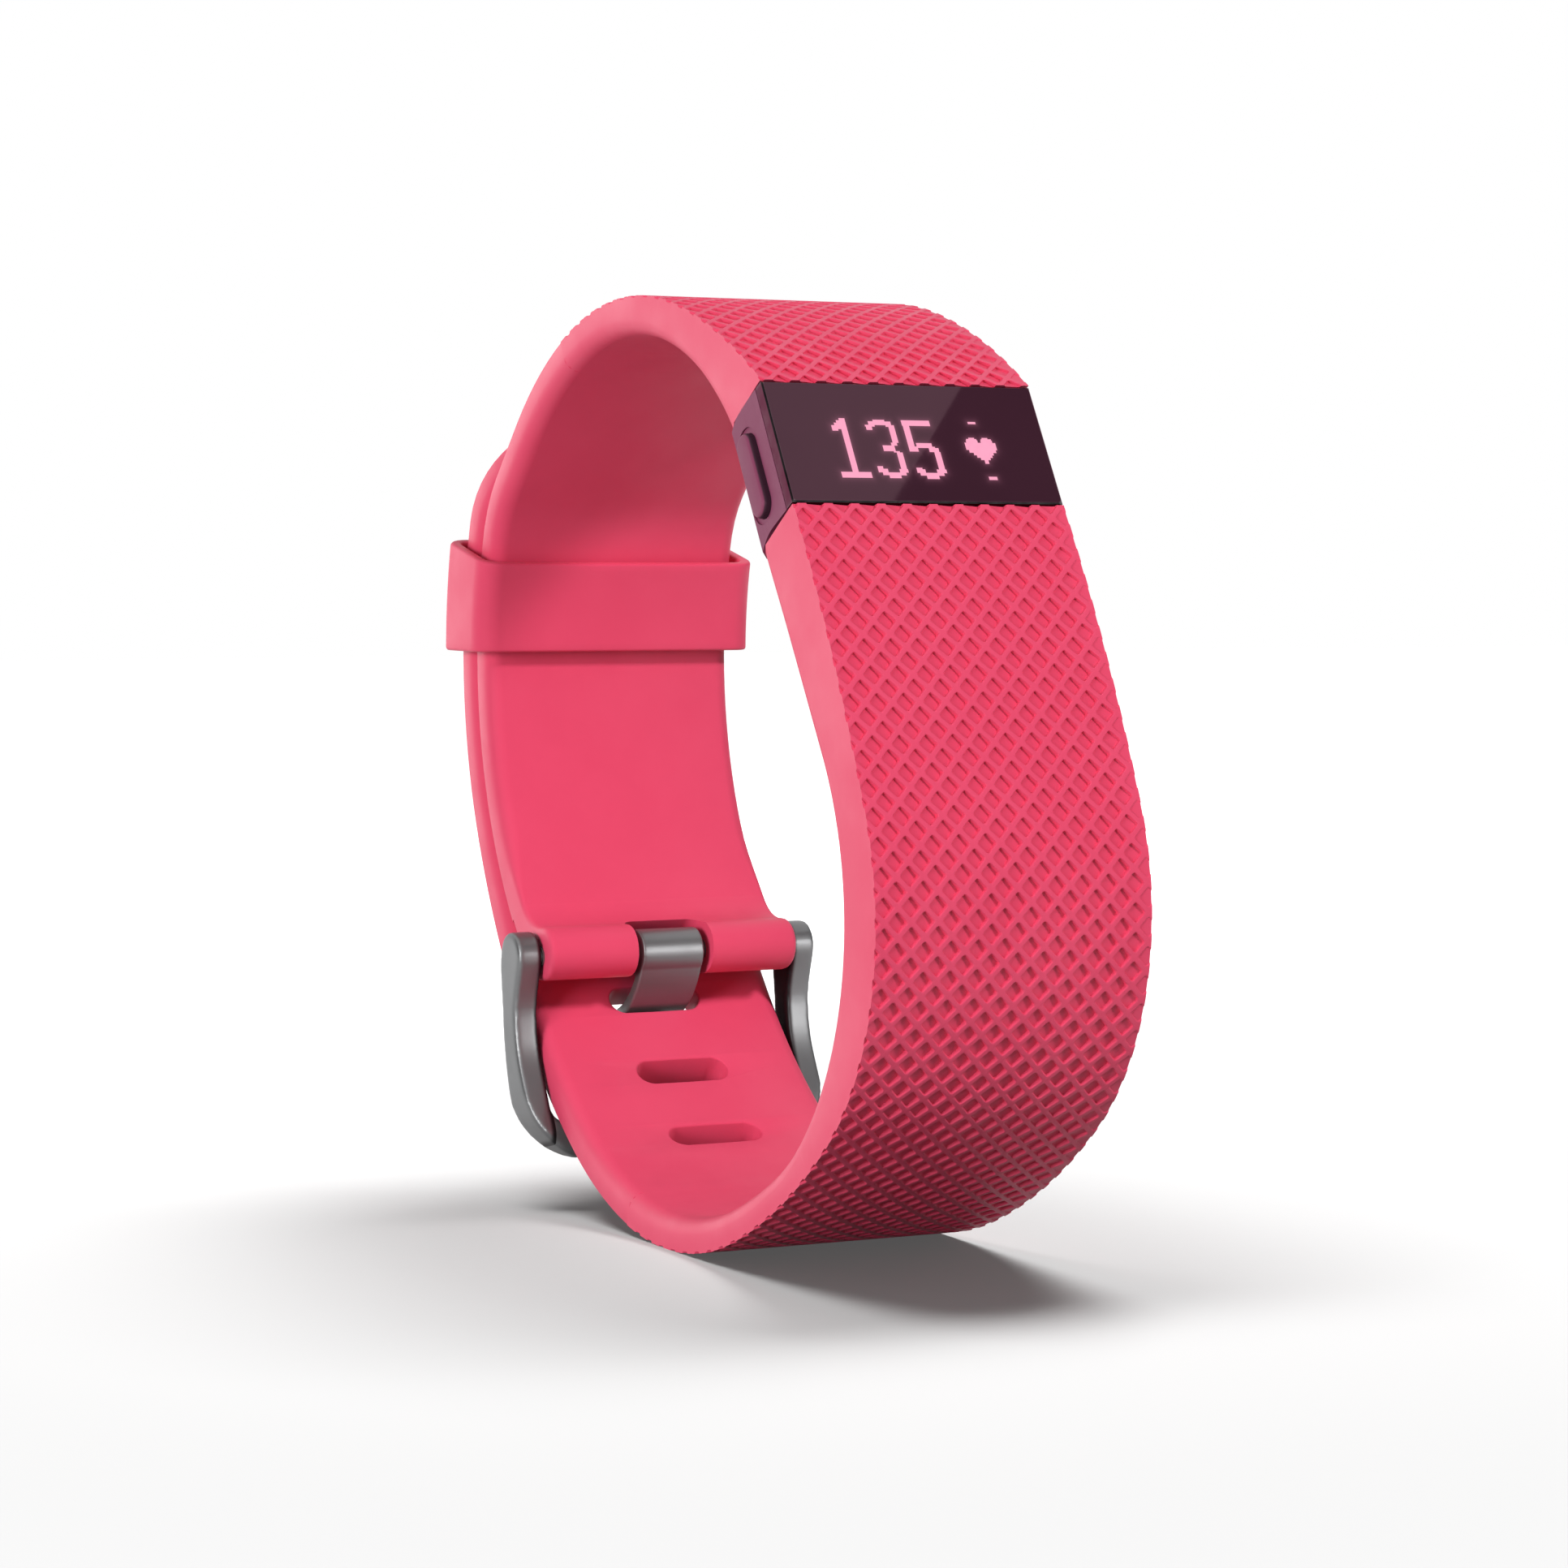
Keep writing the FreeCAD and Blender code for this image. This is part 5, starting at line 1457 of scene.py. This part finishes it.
@dataclass
class ShortStrap(Strap):
    """Short strap: pits over the crown, a smooth back, and the knuckle that holds the buckle's pin."""

    pits_end: float = 35.5
    pin_inside: float = 2.6
    pin_angle: float = -46.9
    pin_radius: float = 0.75
    pin_clear: float = 0.05
    knuckle_radius: float = 2.0
    knuckle_off: float = 0.3
    knuckle_fillet: float = 4.0
    knuckle_crown: float = 3.5
    knuckle_step: float = 0.45
    notch: float = 6.4
    notch_behind: float = 0.7
    notch_round: float = 0.9
    tongue_room: float = 2.5
    edge_by_knuckle: float = 0.4
    narrowing: float = 7.0

    @property
    def pin(self) -> Point:
        """Axis of the buckle's pin."""
        return self.loop.polar(self.loop.back - self.pin_inside, self.pin_angle)

    def build(self) -> Piece:
        """Builds the strap in its place."""
        loop = self.loop
        knuckle_points, angle = self.knuckle_outline()
        outer, inner = loop.short_outer(), loop.short_inner()
        even_from = sum(run.length for run in outer.runs[:2])
        outer.arc(loop.back, angle - loop.top_join)
        inner.arc(loop.deep, angle - loop.top_join)
        wrap = Wrap(outer, inner, loop.upper_seam(), 90, even_from)
        textured = self.textured("short_strap_pits", self.pits_end)
        smooth = self.plain("short_strap_back", self.pits_end, outer.length)
        self.narrow(smooth, outer.length)
        return self.finished([textured, smooth], wrap, "short_strap", lambda: self.knuckle(knuckle_points))

    def narrow(self, piece: Piece, end: float) -> None:
        """Tightens the rounding of a flat run's skin edges towards its end, to meet the knuckle's."""
        wide, thick = self.loop.half_width, self.loop.thick
        for vert in piece.data.vertices:
            share = min(1.0, max(0.0, (vert.co.y - end + self.narrowing) / self.narrowing))
            share = 1 + (self.edge_by_knuckle / self.edge - 1) * smooth(share)
            x, z = wide - abs(vert.co.x), thick + vert.co.z
            if z < self.edge + 1e-3:
                vert.co.x = math.copysign(wide - x * share, vert.co.x)
                vert.co.z = z * share - thick

    def knuckle_outline(self) -> tuple[list[Point], float]:
        """Outline of the knuckle and the angle about the back circle at which it starts."""
        loop = self.loop
        pin = loop.polar(loop.back - self.pin_inside - self.knuckle_off, self.pin_angle)
        centre = loop.centre

        def meet(r1: float, r2: float) -> Point:
            """Left-hand crossing of circles about the loop's centre and the knuckle's."""
            dy, dz = pin[0] - centre[0], pin[1] - centre[1]
            gap = math.hypot(dy, dz)
            along = (r1 * r1 - r2 * r2 + gap * gap) / (2 * gap)
            off = math.sqrt(r1 * r1 - along * along)
            return centre[0] + (along * dy - off * dz) / gap, centre[1] + (along * dz + off * dy) / gap

        def toward(start: Point, end: Point, distance: float) -> Point:
            """Point at a distance from one point towards another."""
            return ahead(start, bearing(start, end), distance)

        crown = meet(loop.back - self.knuckle_crown, self.knuckle_crown - self.knuckle_radius)
        fillet = meet(loop.deep - self.knuckle_fillet, self.knuckle_radius + self.knuckle_fillet)
        inside = toward(centre, fillet, loop.deep)
        angle = bearing(centre, inside)
        line = Outline(loop.polar(loop.back, angle), angle - 90)
        line.arc_to(toward(centre, crown, loop.back)).arc_to(toward(crown, pin, self.knuckle_crown))
        line.arc_to(toward(pin, fillet, self.knuckle_radius)).arc_to(inside)
        return line.points(self.knuckle_step), angle

    def knuckle(self, points: list[Point]) -> Piece:
        """Barrel at the strap's end, notched for the tongue and bored for the pin."""
        wide = self.loop.half_width
        piece = prism("short_strap_knuckle", points, -wide, wide)
        bevel_edges(piece, lambda edge: span(edge, 0) < NEAR
                    and not all(any(math.dist((v.co.y, v.co.z), end) < 1e-3 for end in (points[0], points[-1]))
                                for v in edge.verts), self.edge_by_knuckle, 3)
        low, high = -2 * self.knuckle_radius, self.tongue_room
        inward = self.knuckle_radius + self.notch_behind
        cutter = box("notch_cutter", (self.notch, high - low, 3 * inward), (0, (low + high) / 2, -inward / 2))
        bevel_edges(cutter, lambda edge: span(edge, 2) > 1 and all(v.co.y > high - 1e-3 for v in edge.verts),
                    self.notch_round, 6)
        turn = Matrix.Rotation(math.radians(90 + self.pin_angle), 4, "X")
        stand(cutter, Matrix.Translation((0, *self.pin)) @ turn)
        cut_away(piece, cutter)
        self.bore(piece, wide)
        to_metres(piece)
        return piece

    def bore(self, piece: Piece, half: float) -> None:
        """Drills the pin's bore through a piece with half a width."""
        cut_away(piece, rod("pin_cutter", self.pin_radius + self.pin_clear, -half - 1, half + 1, self.pin))


@dataclass
class Keeper:
    """Loose loop round both layers of the strap."""

    loop: Loop = field(default_factory=Loop)
    angle: float = 7.3
    length: float = 7.9
    wall: float = 0.9
    clear: float = 0.55
    corner: float = 1.8
    rim: float = 0.24

    def build(self) -> Piece:
        """Builds the keeper in its place."""
        loop = self.loop
        low, high = loop.deep - self.clear - self.wall, loop.tail + self.clear + self.wall
        middle, wide = (low + high) / 2, loop.half_width + self.clear + self.wall
        piece = self.tube((2 * wide, self.length, high - low))
        slice_along(piece, 1, stations(-self.length / 2, self.length / 2, 0.8))

        def place(point: Vector) -> Vector:
            """Bends along the circle of the back."""
            turn = self.angle + math.degrees(point.y / loop.back)
            y, z = loop.polar(middle + point.z, turn)
            return Vector((point.x, y, z)) * MM

        bend(piece, place)
        outward(piece, 1e-7)
        return dress(settle(piece, 40), Elastomer(), "strap", "keeper", "keeper_loop")

    def tube(self, size: Triple) -> Piece:
        """Flat rectangular tube along Y with round corners and soft rims."""
        piece = box("keeper_band", size)
        bevel_edges(piece, lambda edge: span(edge, 1) > 1, self.corner, 7)
        with editing(piece):
            pick(piece, "faces", lambda face: abs(face.normal.y) > 0.9)
            inset(self.wall)
            bpy.ops.mesh.bridge_edge_loops()
        outward(piece)

        def on_rim(edge: Edge) -> bool:
            """True for the edges round the ends of the tube."""
            return all(abs(abs(v.co.y) - size[1] / 2) < NEAR for v in edge.verts) and edge.calc_face_angle(0.0) > 0.8

        bevel_edges(piece, on_rim, self.rim, 3)
        return piece


@dataclass
class Buckle:
    """Polished frame on a cross pin, with the tongue that rests on its far bar.

    The arms' waist and fill each have a middle and a width, as shares of the arm's length, and a strength.
    """

    loop: Loop = field(default_factory=Loop)
    strap: ShortStrap = field(default_factory=ShortStrap)
    steel: Steel = field(default_factory=Steel)
    thick: float = 2.6
    eye: float = 1.9
    eye_out: float = 0.95
    reach: float = 14.4
    bow: float = 1.5
    side: float = 0.2
    arm: float = 2.0
    bar: float = 3.0
    corner: float = 5.5
    inner_corner: float = 1.0
    bar_gap: float = 0.94
    facet: float = 0.15
    polish: int = 22
    tongue_width: float = 5.2
    tongue_thick: float = 0.9
    tongue_eye: float = 1.8
    tongue_bend: float = 2.6
    tongue_over: float = 1.6
    tongue_bulge: float = 24.0
    tongue_sunk: float = 0.02
    tongue_past: float = 0.6
    tongue_clear: float = 0.05
    tongue_tip: float = 0.62
    tongue_taper: float = 3.0
    waist: Triple = (0.42, 0.2, 0.05)
    fill: Triple = (0.82, 0.25, 0.55)
    eye_share: float = 0.3
    bar_between: Point = (0.52, 0.72)
    pin_step: float = 0.2
    pin_tip: float = 1.2
    pin_edge: float = 0.12

    @property
    def eye_middle(self) -> Point:
        """Middle of the round end of each arm."""
        return self.strap.pin[0] + self.eye_out, self.strap.pin[1]

    def bar_middle(self) -> Point:
        """Middle of the far bar, off the strap by its gap and one reach from the arms' round ends."""
        outer, off = self.loop.long_outer(), self.bar_gap + self.thick / 2
        low, high = (outer.length * share for share in self.bar_between)
        for _ in range(HALVINGS):
            middle = (low + high) / 2
            face, heading = outer.at(middle)
            point = ahead(face, heading - 90, off)
            low, high = (middle, high) if math.dist(point, self.eye_middle) > self.reach else (low, middle)
        return point

    def arm_line(self) -> Outline:
        """Middle line of the arms, bowed outwards."""
        half = math.degrees(2 * math.atan2(2 * self.bow, self.reach))
        line = Outline(self.eye_middle, bearing(self.eye_middle, self.bar_middle()) + half)
        return line.arc(self.reach / 2 / math.sin(math.radians(half)), -2 * half)

    def arm_half(self, share: float, side: int) -> float:
        """Reach of the arm from its middle line: full at the eye, waisted, fuller by the strap, then even."""
        waist, fill = (at[2] * math.exp(-((share - at[0]) / at[1]) ** 2) for at in (self.waist, self.fill))
        to_bar = min(1.0, share / self.eye_share)
        reach = self.eye + (self.thick / 2 - self.eye) * smooth(to_bar)
        return reach * (1 - waist) + (fill if side < 0 else 0.0)

    def frame(self) -> Piece:
        """Builds the frame in its place."""
        line = self.arm_line()
        wide = self.loop.half_width + self.side
        full = wide + self.arm
        piece = prism("buckle_frame_steel", ribbon(line, self.arm_half, 0.7), -full, full)
        eye, out = self.eye_middle, self.reach + self.bar / 2
        turn = Matrix.Rotation(math.radians(bearing(eye, line.point)), 4, "X")
        place = Matrix.Translation((0, *eye)) @ turn
        for name, half, near, far, corner, segments, operation in (
                ("plan_cutter", full, -6, out, self.corner, 12, "INTERSECT"),
                ("hole_cutter", wide, -8, out - self.bar, self.inner_corner, 5, "DIFFERENCE")):
            cutter = box(name, (2 * half, far - near, 24), (0, (near + far) / 2, 0))
            bevel_edges(cutter, lambda edge: span(edge, 2) > 1 and all(v.co.y > 0 for v in edge.verts),
                        corner, segments)
            stand(cutter, place)
            cut_away(piece, cutter, operation)
        soften(piece, self.facet, self.polish)
        to_metres(piece)
        return dress(settle(piece, 60), self.steel, "buckle_steel", "buckle", "buckle_frame")

    def tongue(self) -> Piece:
        """Builds the tongue in its place: an eye round the pin, a run through its slot and a bend to the bar."""
        pin, bar = self.strap.pin, self.arm_line()
        inner = self.loop.long_inner()
        mouth, heading = inner.at(inner.reach(self.loop.centre, LongStrap.slot_angle))
        middle = ahead(mouth, heading - 90, self.loop.thick / 2)
        arm = self.tongue_eye - self.tongue_thick / 2 - self.tongue_sunk
        far = math.dist(pin, middle)
        aim = bearing(pin, middle) + math.degrees(math.asin(arm / far))
        run, bulge = math.sqrt(far * far - arm * arm) + self.tongue_past, self.tongue_bulge
        line = Outline(ahead(pin, aim - 90, arm), aim - bulge)
        line.arc(run / 2 / math.sin(math.radians(bulge)), 2 * bulge)
        target = ahead(bar.point, bar.heading + 90, self.thick / 2 + self.tongue_clear + self.tongue_thick / 2)
        corner = ahead(line.point, line.heading - 90, self.tongue_bend)
        lean = math.degrees(math.asin(self.tongue_bend / math.dist(corner, target)))
        line.arc(self.tongue_bend, (bearing(corner, target) - lean - line.heading) % 360 - 360)
        line.line(math.dist(line.point, target)).line(self.tongue_over)
        half = self.tongue_width / 2

        def taper(share: float, _: int) -> float:
            """Half the tongue's thickness, thinner at its tip."""
            return self.tongue_thick / 2 * min(1.0, self.tongue_tip + (1 - share) * self.tongue_taper)

        strip = prism("buckle_tongue_steel", ribbon(line, taper, 0.45, 6), -half, half)
        eye = rod("tongue_eye", self.tongue_eye, -half, half, pin, 48)
        cut_away(strip, eye, "UNION")
        self.strap.bore(strip, half)
        soften(strip, self.facet * 0.6, self.polish // 2)
        to_metres(strip)
        return dress(settle(strip, 60), self.steel, "buckle_steel", "tongue", "buckle_tongue")

    def pin_rod(self) -> Piece:
        """Builds the cross pin with its thinner tips."""
        body = self.loop.half_width + self.side / 2
        piece = rod("buckle_pin_steel", self.strap.pin_radius, -body, body, self.strap.pin)
        with editing(piece):
            pick(piece, "faces", lambda face: abs(face.normal.x) > 0.9)
            inset(self.pin_step)
            for side in (-1, 1):
                pick(piece, "faces", lambda face: face.normal.x * side > 0.9 and face.calc_area() > 0.5)
                extrude(side * self.pin_tip)
        bevel_edges(piece, lambda edge: span(edge, 0) < NEAR and abs(edge.verts[0].co.x) > body + self.pin_tip / 2,
                    self.pin_edge, 2)
        to_metres(piece)
        return dress(settle(piece, 35), self.steel, "buckle_steel", "buckle", "buckle_pin")


@dataclass
class Module:
    """Display module: the tinted window, the lit figures on it and the side button."""

    loop: Loop = field(default_factory=Loop)
    window_thick: float = 1.0
    window_bevel: float = 0.1
    glow_reach: float = 0.17
    glow_limit: float = 1.2
    figure_gap: float = 0.004
    lift: float = 0.015
    button_length: float = 6.4
    button_width: float = 2.1
    button_proud: float = 0.45
    button_head: float = 1.0
    button_u: float = -0.35
    button_w: float = -4.0
    button_edge: float = 0.3
    stem_inset: float = 0.55
    stem_length: float = 1.05

    def rectangles(self) -> list[Rect]:
        """Every lit rectangle as (left, right, bottom, top) in the module's own frame."""
        left, top = -self.loop.half_width, self.loop.module_length / 2
        return [(left + x0, left + x1, top - y1, top - y0) for part in FIGURES.values() for x0, x1, y0, y1 in part]

    def window(self) -> Piece:
        """Builds the window: a slab with softened edges whose face carries the glow of the figures."""
        wide, long = 2 * self.loop.half_width, self.loop.module_length
        inside = (wide - 2 * self.window_bevel, long - 2 * self.window_bevel)
        piece = primitive("grid", "display_window_glass", x_subdivisions=168, y_subdivisions=76, size=1.0)
        sized(piece, *inside)
        with editing(piece, "EDGE"):
            pick(piece, "edges", lambda edge: edge.is_boundary)
            extrude()
            bpy.ops.transform.resize(value=(wide / inside[0], long / inside[1], 1))
            move(0, 0, -self.window_bevel)
            extrude()
            move(0, 0, self.window_bevel - self.window_thick)
            bpy.ops.mesh.edge_face_add()
        outward(piece)
        glow = piece.data.attributes.new("glow", "FLOAT", "POINT")
        rectangles = self.rectangles()
        for vert in piece.data.vertices:
            if vert.co.z > -NEAR:
                glow.data[vert.index].value = self.glow_at(vert.co.x, vert.co.y, rectangles)
        stand(piece, self.loop.module_place())
        to_metres(piece)
        return dress(settle(piece, 30), TintedGlass(loop=self.loop), "window", "band", "display_window")

    def glow_at(self, x: float, y: float, rectangles: list[Rect]) -> float:
        """Brightness of the halo at a place on the window."""
        gap = min(math.hypot(max(x0 - x, 0, x - x1), max(y0 - y, 0, y - y1)) for x0, x1, y0, y1 in rectangles)
        return math.exp(-gap / self.glow_reach) if gap < self.glow_limit else 0.0

    def figures(self) -> Piece:
        """Builds the lit figures: thin plates a hair above the window."""
        plates = []
        for x0, x1, y0, y1 in self.rectangles():
            plate = primitive("plane", "figure_plate", size=1.0,
                              location=((x0 + x1) / 2, (y0 + y1) / 2, self.figure_gap))
            sized(plate, x1 - x0, y1 - y0)
            with editing(plate):
                everything()
                extrude(0, 0, self.lift)
                everything()
                bpy.ops.mesh.normals_make_consistent(inside=False)
            plates.append(plate)
        piece = join(plates, "display_figures")
        stand(piece, self.loop.module_place())
        to_metres(piece)
        return dress(settle(piece, 30), Lit(), "panel", "band")

    def button(self) -> Piece:
        """Builds the button: a soft-edged pill on a stem."""
        piece = primitive("cylinder", "side_button_pill", vertices=48, radius=self.button_width / 2,
                          depth=self.button_head)
        stretch(piece, 1, (self.button_length - self.button_width) / 2)
        bevel_edges(piece, lambda edge: all(v.co.z > self.button_head / 2 - NEAR for v in edge.verts),
                    self.button_edge, 5)
        with editing(piece):
            pick(piece, "faces", lambda face: face.normal.z < -0.9)
            inset(self.stem_inset)
            extrude(0, 0, -self.stem_length)
        outward(piece)
        face = -self.loop.half_width - self.button_proud
        turn = Matrix.Rotation(-math.pi / 2, 4, "Y")
        centre = Matrix.Translation((face + self.button_head / 2, self.button_u, self.button_w))
        stand(piece, self.loop.module_place() @ centre @ turn)
        to_metres(piece)
        return dress(settle(piece, 35), SatinPill(), "button", "button", "side_button")


# ---------------------------------------------------------------- studio


@dataclass(frozen=True)
class Lamp:
    """Soft square lamp aimed at the band. The place and size are in metres."""

    name: str
    place: Triple
    power: float
    size: float
    target: Target = Target.BAND
    glossy: bool = False

    def build(self, groups: dict[Target, bpy.types.Collection]) -> None:
        """Hangs the lamp.

        Args:
            groups: The collections that hold the band's pieces and the floor.
        """
        light = bpy.data.lights.new(self.name, "AREA")
        light.energy, light.size = self.power, self.size
        lamp = bpy.data.objects.new(self.name, light)
        bpy.context.scene.collection.objects.link(lamp)
        lamp.location = self.place
        lamp.rotation_euler = (-Vector(self.place)).to_track_quat("-Z", "Y").to_euler()
        lamp.light_linking.receiver_collection = groups[self.target]
        lamp.visible_glossy = self.glossy


@dataclass
class Studio:
    """Pale floor, soft light, a dark flag beside the window and the camera.

    Lengths are in metres, but for the flag's edge, which is in millimetres across and along the window.
    """

    loop: Loop = field(default_factory=Loop)
    eye: Triple = (-0.1338, -0.2635, 0.01417)
    aim: Triple = (0.0, 0.001, -0.001)
    lens: float = 93.17
    daylight: float = 0.19
    white: Colour = (1.0, 1.0, 1.0)
    side_dark: float = 0.12
    side_from: Point = (0.9, 0.6)
    floor_size: float = 4.0
    floor_seen: Colour = (0.3, 0.3, 0.3)
    floor_hidden: Colour = (0.09, 0.09, 0.09)
    fade: Point = (0.08, 1.02)
    fade_from: Point = (0.08, 0.35)
    flag_edge: tuple[Point, Point] = ((6.0, 4.75), (-1.95, -4.70))
    flag_away: float = 0.35
    flag_width: float = 0.16
    flag_over: float = 0.12
    velvet: Colour = (0.004, 0.004, 0.004)
    lamps: tuple[Lamp, ...] = (
        Lamp("key_lamp", (0.36, -0.45, 0.42), 3.4, 0.1),
        Lamp("side_lamp", (-0.68, -0.3, 0.1), 4.6, 0.3),
        Lamp("rim_lamp", (-0.4, 0.79, 0.1), 4.0, 0.8, Target.STRAP, True),
        Lamp("left_steel_lamp", (-0.5, -0.43, 0.1), 4.6, 0.5, Target.STEEL, True),
        Lamp("right_steel_lamp", (0.33, -0.66, 0.08), 2.6, 0.42, Target.STEEL, True),
        Lamp("left_floor_lamp", (-0.13, 0.1, 0.55), 4.4, 0.26, Target.FLOOR),
        Lamp("right_floor_lamp", (0.19, 0.12, 0.53), 6.6, 0.26, Target.FLOOR),
        Lamp("top_floor_lamp", (0.05, 0.04, 0.55), 1.0, 0.2, Target.FLOOR),
    )

    def build(self, lowest: float) -> None:
        """Sets up the studio round the band.

        Args:
            lowest: Height of the floor.
        """
        groups = {target: bpy.data.collections.new(f"lit_{target.value}") for target in Target}
        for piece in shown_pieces():
            groups[Target.BAND].objects.link(piece)
            worn = {slot.material.name for slot in piece.material_slots if slot.material}
            for target, finish in ((Target.STRAP, Elastomer), (Target.STEEL, Steel)):
                if finish.name in worn:
                    groups[target].objects.link(piece)
        self.world()
        groups[Target.FLOOR].objects.link(self.floor(lowest))
        self.flag()
        for lamp in self.lamps:
            lamp.build(groups)
        self.camera()
        bpy.context.scene.view_settings.view_transform = "Standard"

    @staticmethod
    def seen(nodes: Nodes, *rays: Ray) -> Socket:
        """Mask of rays of the named kinds."""
        path = nodes.add("LightPath")
        mask = path.outputs[rays[0].value]
        for ray in rays[1:]:
            mask = nodes.maths("MAXIMUM", mask, path.outputs[ray.value])
        return mask

    @staticmethod
    def coat(piece: Piece, name: str) -> tuple[Nodes, Node]:
        """Gives a studio piece a material of its own; returns its tree and its shader."""
        made = bpy.data.materials.new(name)
        made.use_nodes = True
        piece.data.materials.append(made)
        return Nodes(made.node_tree), made.node_tree.nodes["Principled BSDF"]

    def world(self) -> None:
        """Even daylight: white to the camera, darker at the sides where it is mirrored, dim on the pieces."""
        world = bpy.data.worlds.new("studio_daylight")
        bpy.context.scene.world = world
        world.use_nodes = True
        nodes = Nodes(world.node_tree)
        across = nodes.maths("ABSOLUTE", nodes.part("X", nodes.place("Generated")))
        lit = nodes.maths("MULTIPLY", nodes.ramp(across, *self.side_from), 1.0 - self.side_dark)
        gloss = nodes.maths("ADD", lit, self.side_dark)
        seen = nodes.maths("MAXIMUM", nodes.maths("MULTIPLY", self.seen(nodes, Ray.GLOSSY), gloss),
                           self.seen(nodes, Ray.CAMERA, Ray.THROUGH))
        rest = nodes.maths("SUBTRACT", 1.0, self.seen(nodes, *Ray))
        strength = nodes.maths("ADD", seen, nodes.maths("MULTIPLY", rest, self.daylight))
        nodes.fill(world.node_tree.nodes["Background"], {"Color": self.white, "Strength": strength})

    def floor(self, lowest: float) -> Piece:
        """Pale floor that fades to white round the band and keeps its shadow."""
        piece = primitive("plane", "studio_floor", size=self.floor_size, location=(0, 0, lowest))
        bpy.ops.object.transform_apply()
        nodes, shader = self.coat(piece, "pale_floor")
        seen = self.seen(nodes, *Ray)
        away = nodes.add("VectorMath", {0: nodes.place()})
        away.operation = "LENGTH"
        near, far = self.fade
        glow = nodes.maths("MULTIPLY", nodes.ramp(away.outputs["Value"], *self.fade_from), far - near)
        nodes.fill(shader, {
            "Base Color": nodes.mix(seen, self.floor_hidden, self.floor_seen), "Roughness": 0.9,
            "Specular IOR Level": 0.0, "Emission Color": self.white,
            "Emission Strength": nodes.maths("MULTIPLY", nodes.maths("ADD", glow, near), seen)})
        piece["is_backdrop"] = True
        return piece

    def flag(self) -> None:
        """Dark flag that only reflections see: its edge draws the slanting line across the window."""
        out = Vector((0.0, *unit(self.loop.tilt + 90)))
        middle = Vector((0.0, *self.loop.module)) * MM
        eye = Vector(self.eye)
        behind = eye - 2 * (eye - middle).dot(out) * out
        ends = []
        for x, u in self.flag_edge:
            y, z = self.loop.on_module(u, 0.0)
            way = (Vector((x, y, z)) * MM - behind).normalized()
            ends.append(middle + way * self.flag_away)
        along = (ends[0] - ends[1]).normalized()
        toward = (ends[0] - behind).normalized()
        aside = toward.cross(along).normalized()
        if aside.x < 0:
            aside = -aside
        piece = primitive("plane", "studio_flag", size=1.0)
        top, low = ends[0] + along * self.flag_over, ends[1] - along * self.flag_over
        corners = (low, low + aside * self.flag_width, top, top + aside * self.flag_width)
        for vert, corner in zip(piece.data.vertices, corners):
            vert.co = corner
        nodes, shader = self.coat(piece, "black_velvet")
        nodes.fill(shader, {"Base Color": self.velvet, "Specular IOR Level": 0.0})
        piece.visible_camera = piece.visible_diffuse = piece.visible_shadow = False
        piece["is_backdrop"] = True

    def camera(self) -> None:
        """Places the camera."""
        data = bpy.data.cameras.new("studio_camera")
        data.lens, data.sensor_width = self.lens, 36.0
        data.clip_start, data.clip_end = 0.01, 20.0
        camera = bpy.data.objects.new("studio_camera", data)
        bpy.context.scene.collection.objects.link(camera)
        camera.location = self.eye
        camera.rotation_euler = (Vector(self.aim) - Vector(self.eye)).to_track_quat("-Z", "Y").to_euler()
        bpy.context.scene.camera = camera


def measured() -> list[list[float]]:
    """The whole object's box as plain lists."""
    return [list(corner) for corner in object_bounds()]


def main() -> None:
    """Builds the band in its studio."""
    logging.basicConfig(level=logging.INFO, format="%(name)s: %(message)s")
    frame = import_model()
    cad = measured()
    loop = Loop()
    short = ShortStrap(loop)
    buckle, module = Buckle(loop, short), Module(loop)
    builders = (LongStrap(loop).build, short.build, Keeper(loop).build, buckle.frame, buckle.tongue, buckle.pin_rod,
                module.window, module.figures, module.button)
    for build in builders:
        build()
    dress_kept(frame["nodes"])
    Studio(loop).build(cad[0][2])


if __name__ == "__main__":
    main()
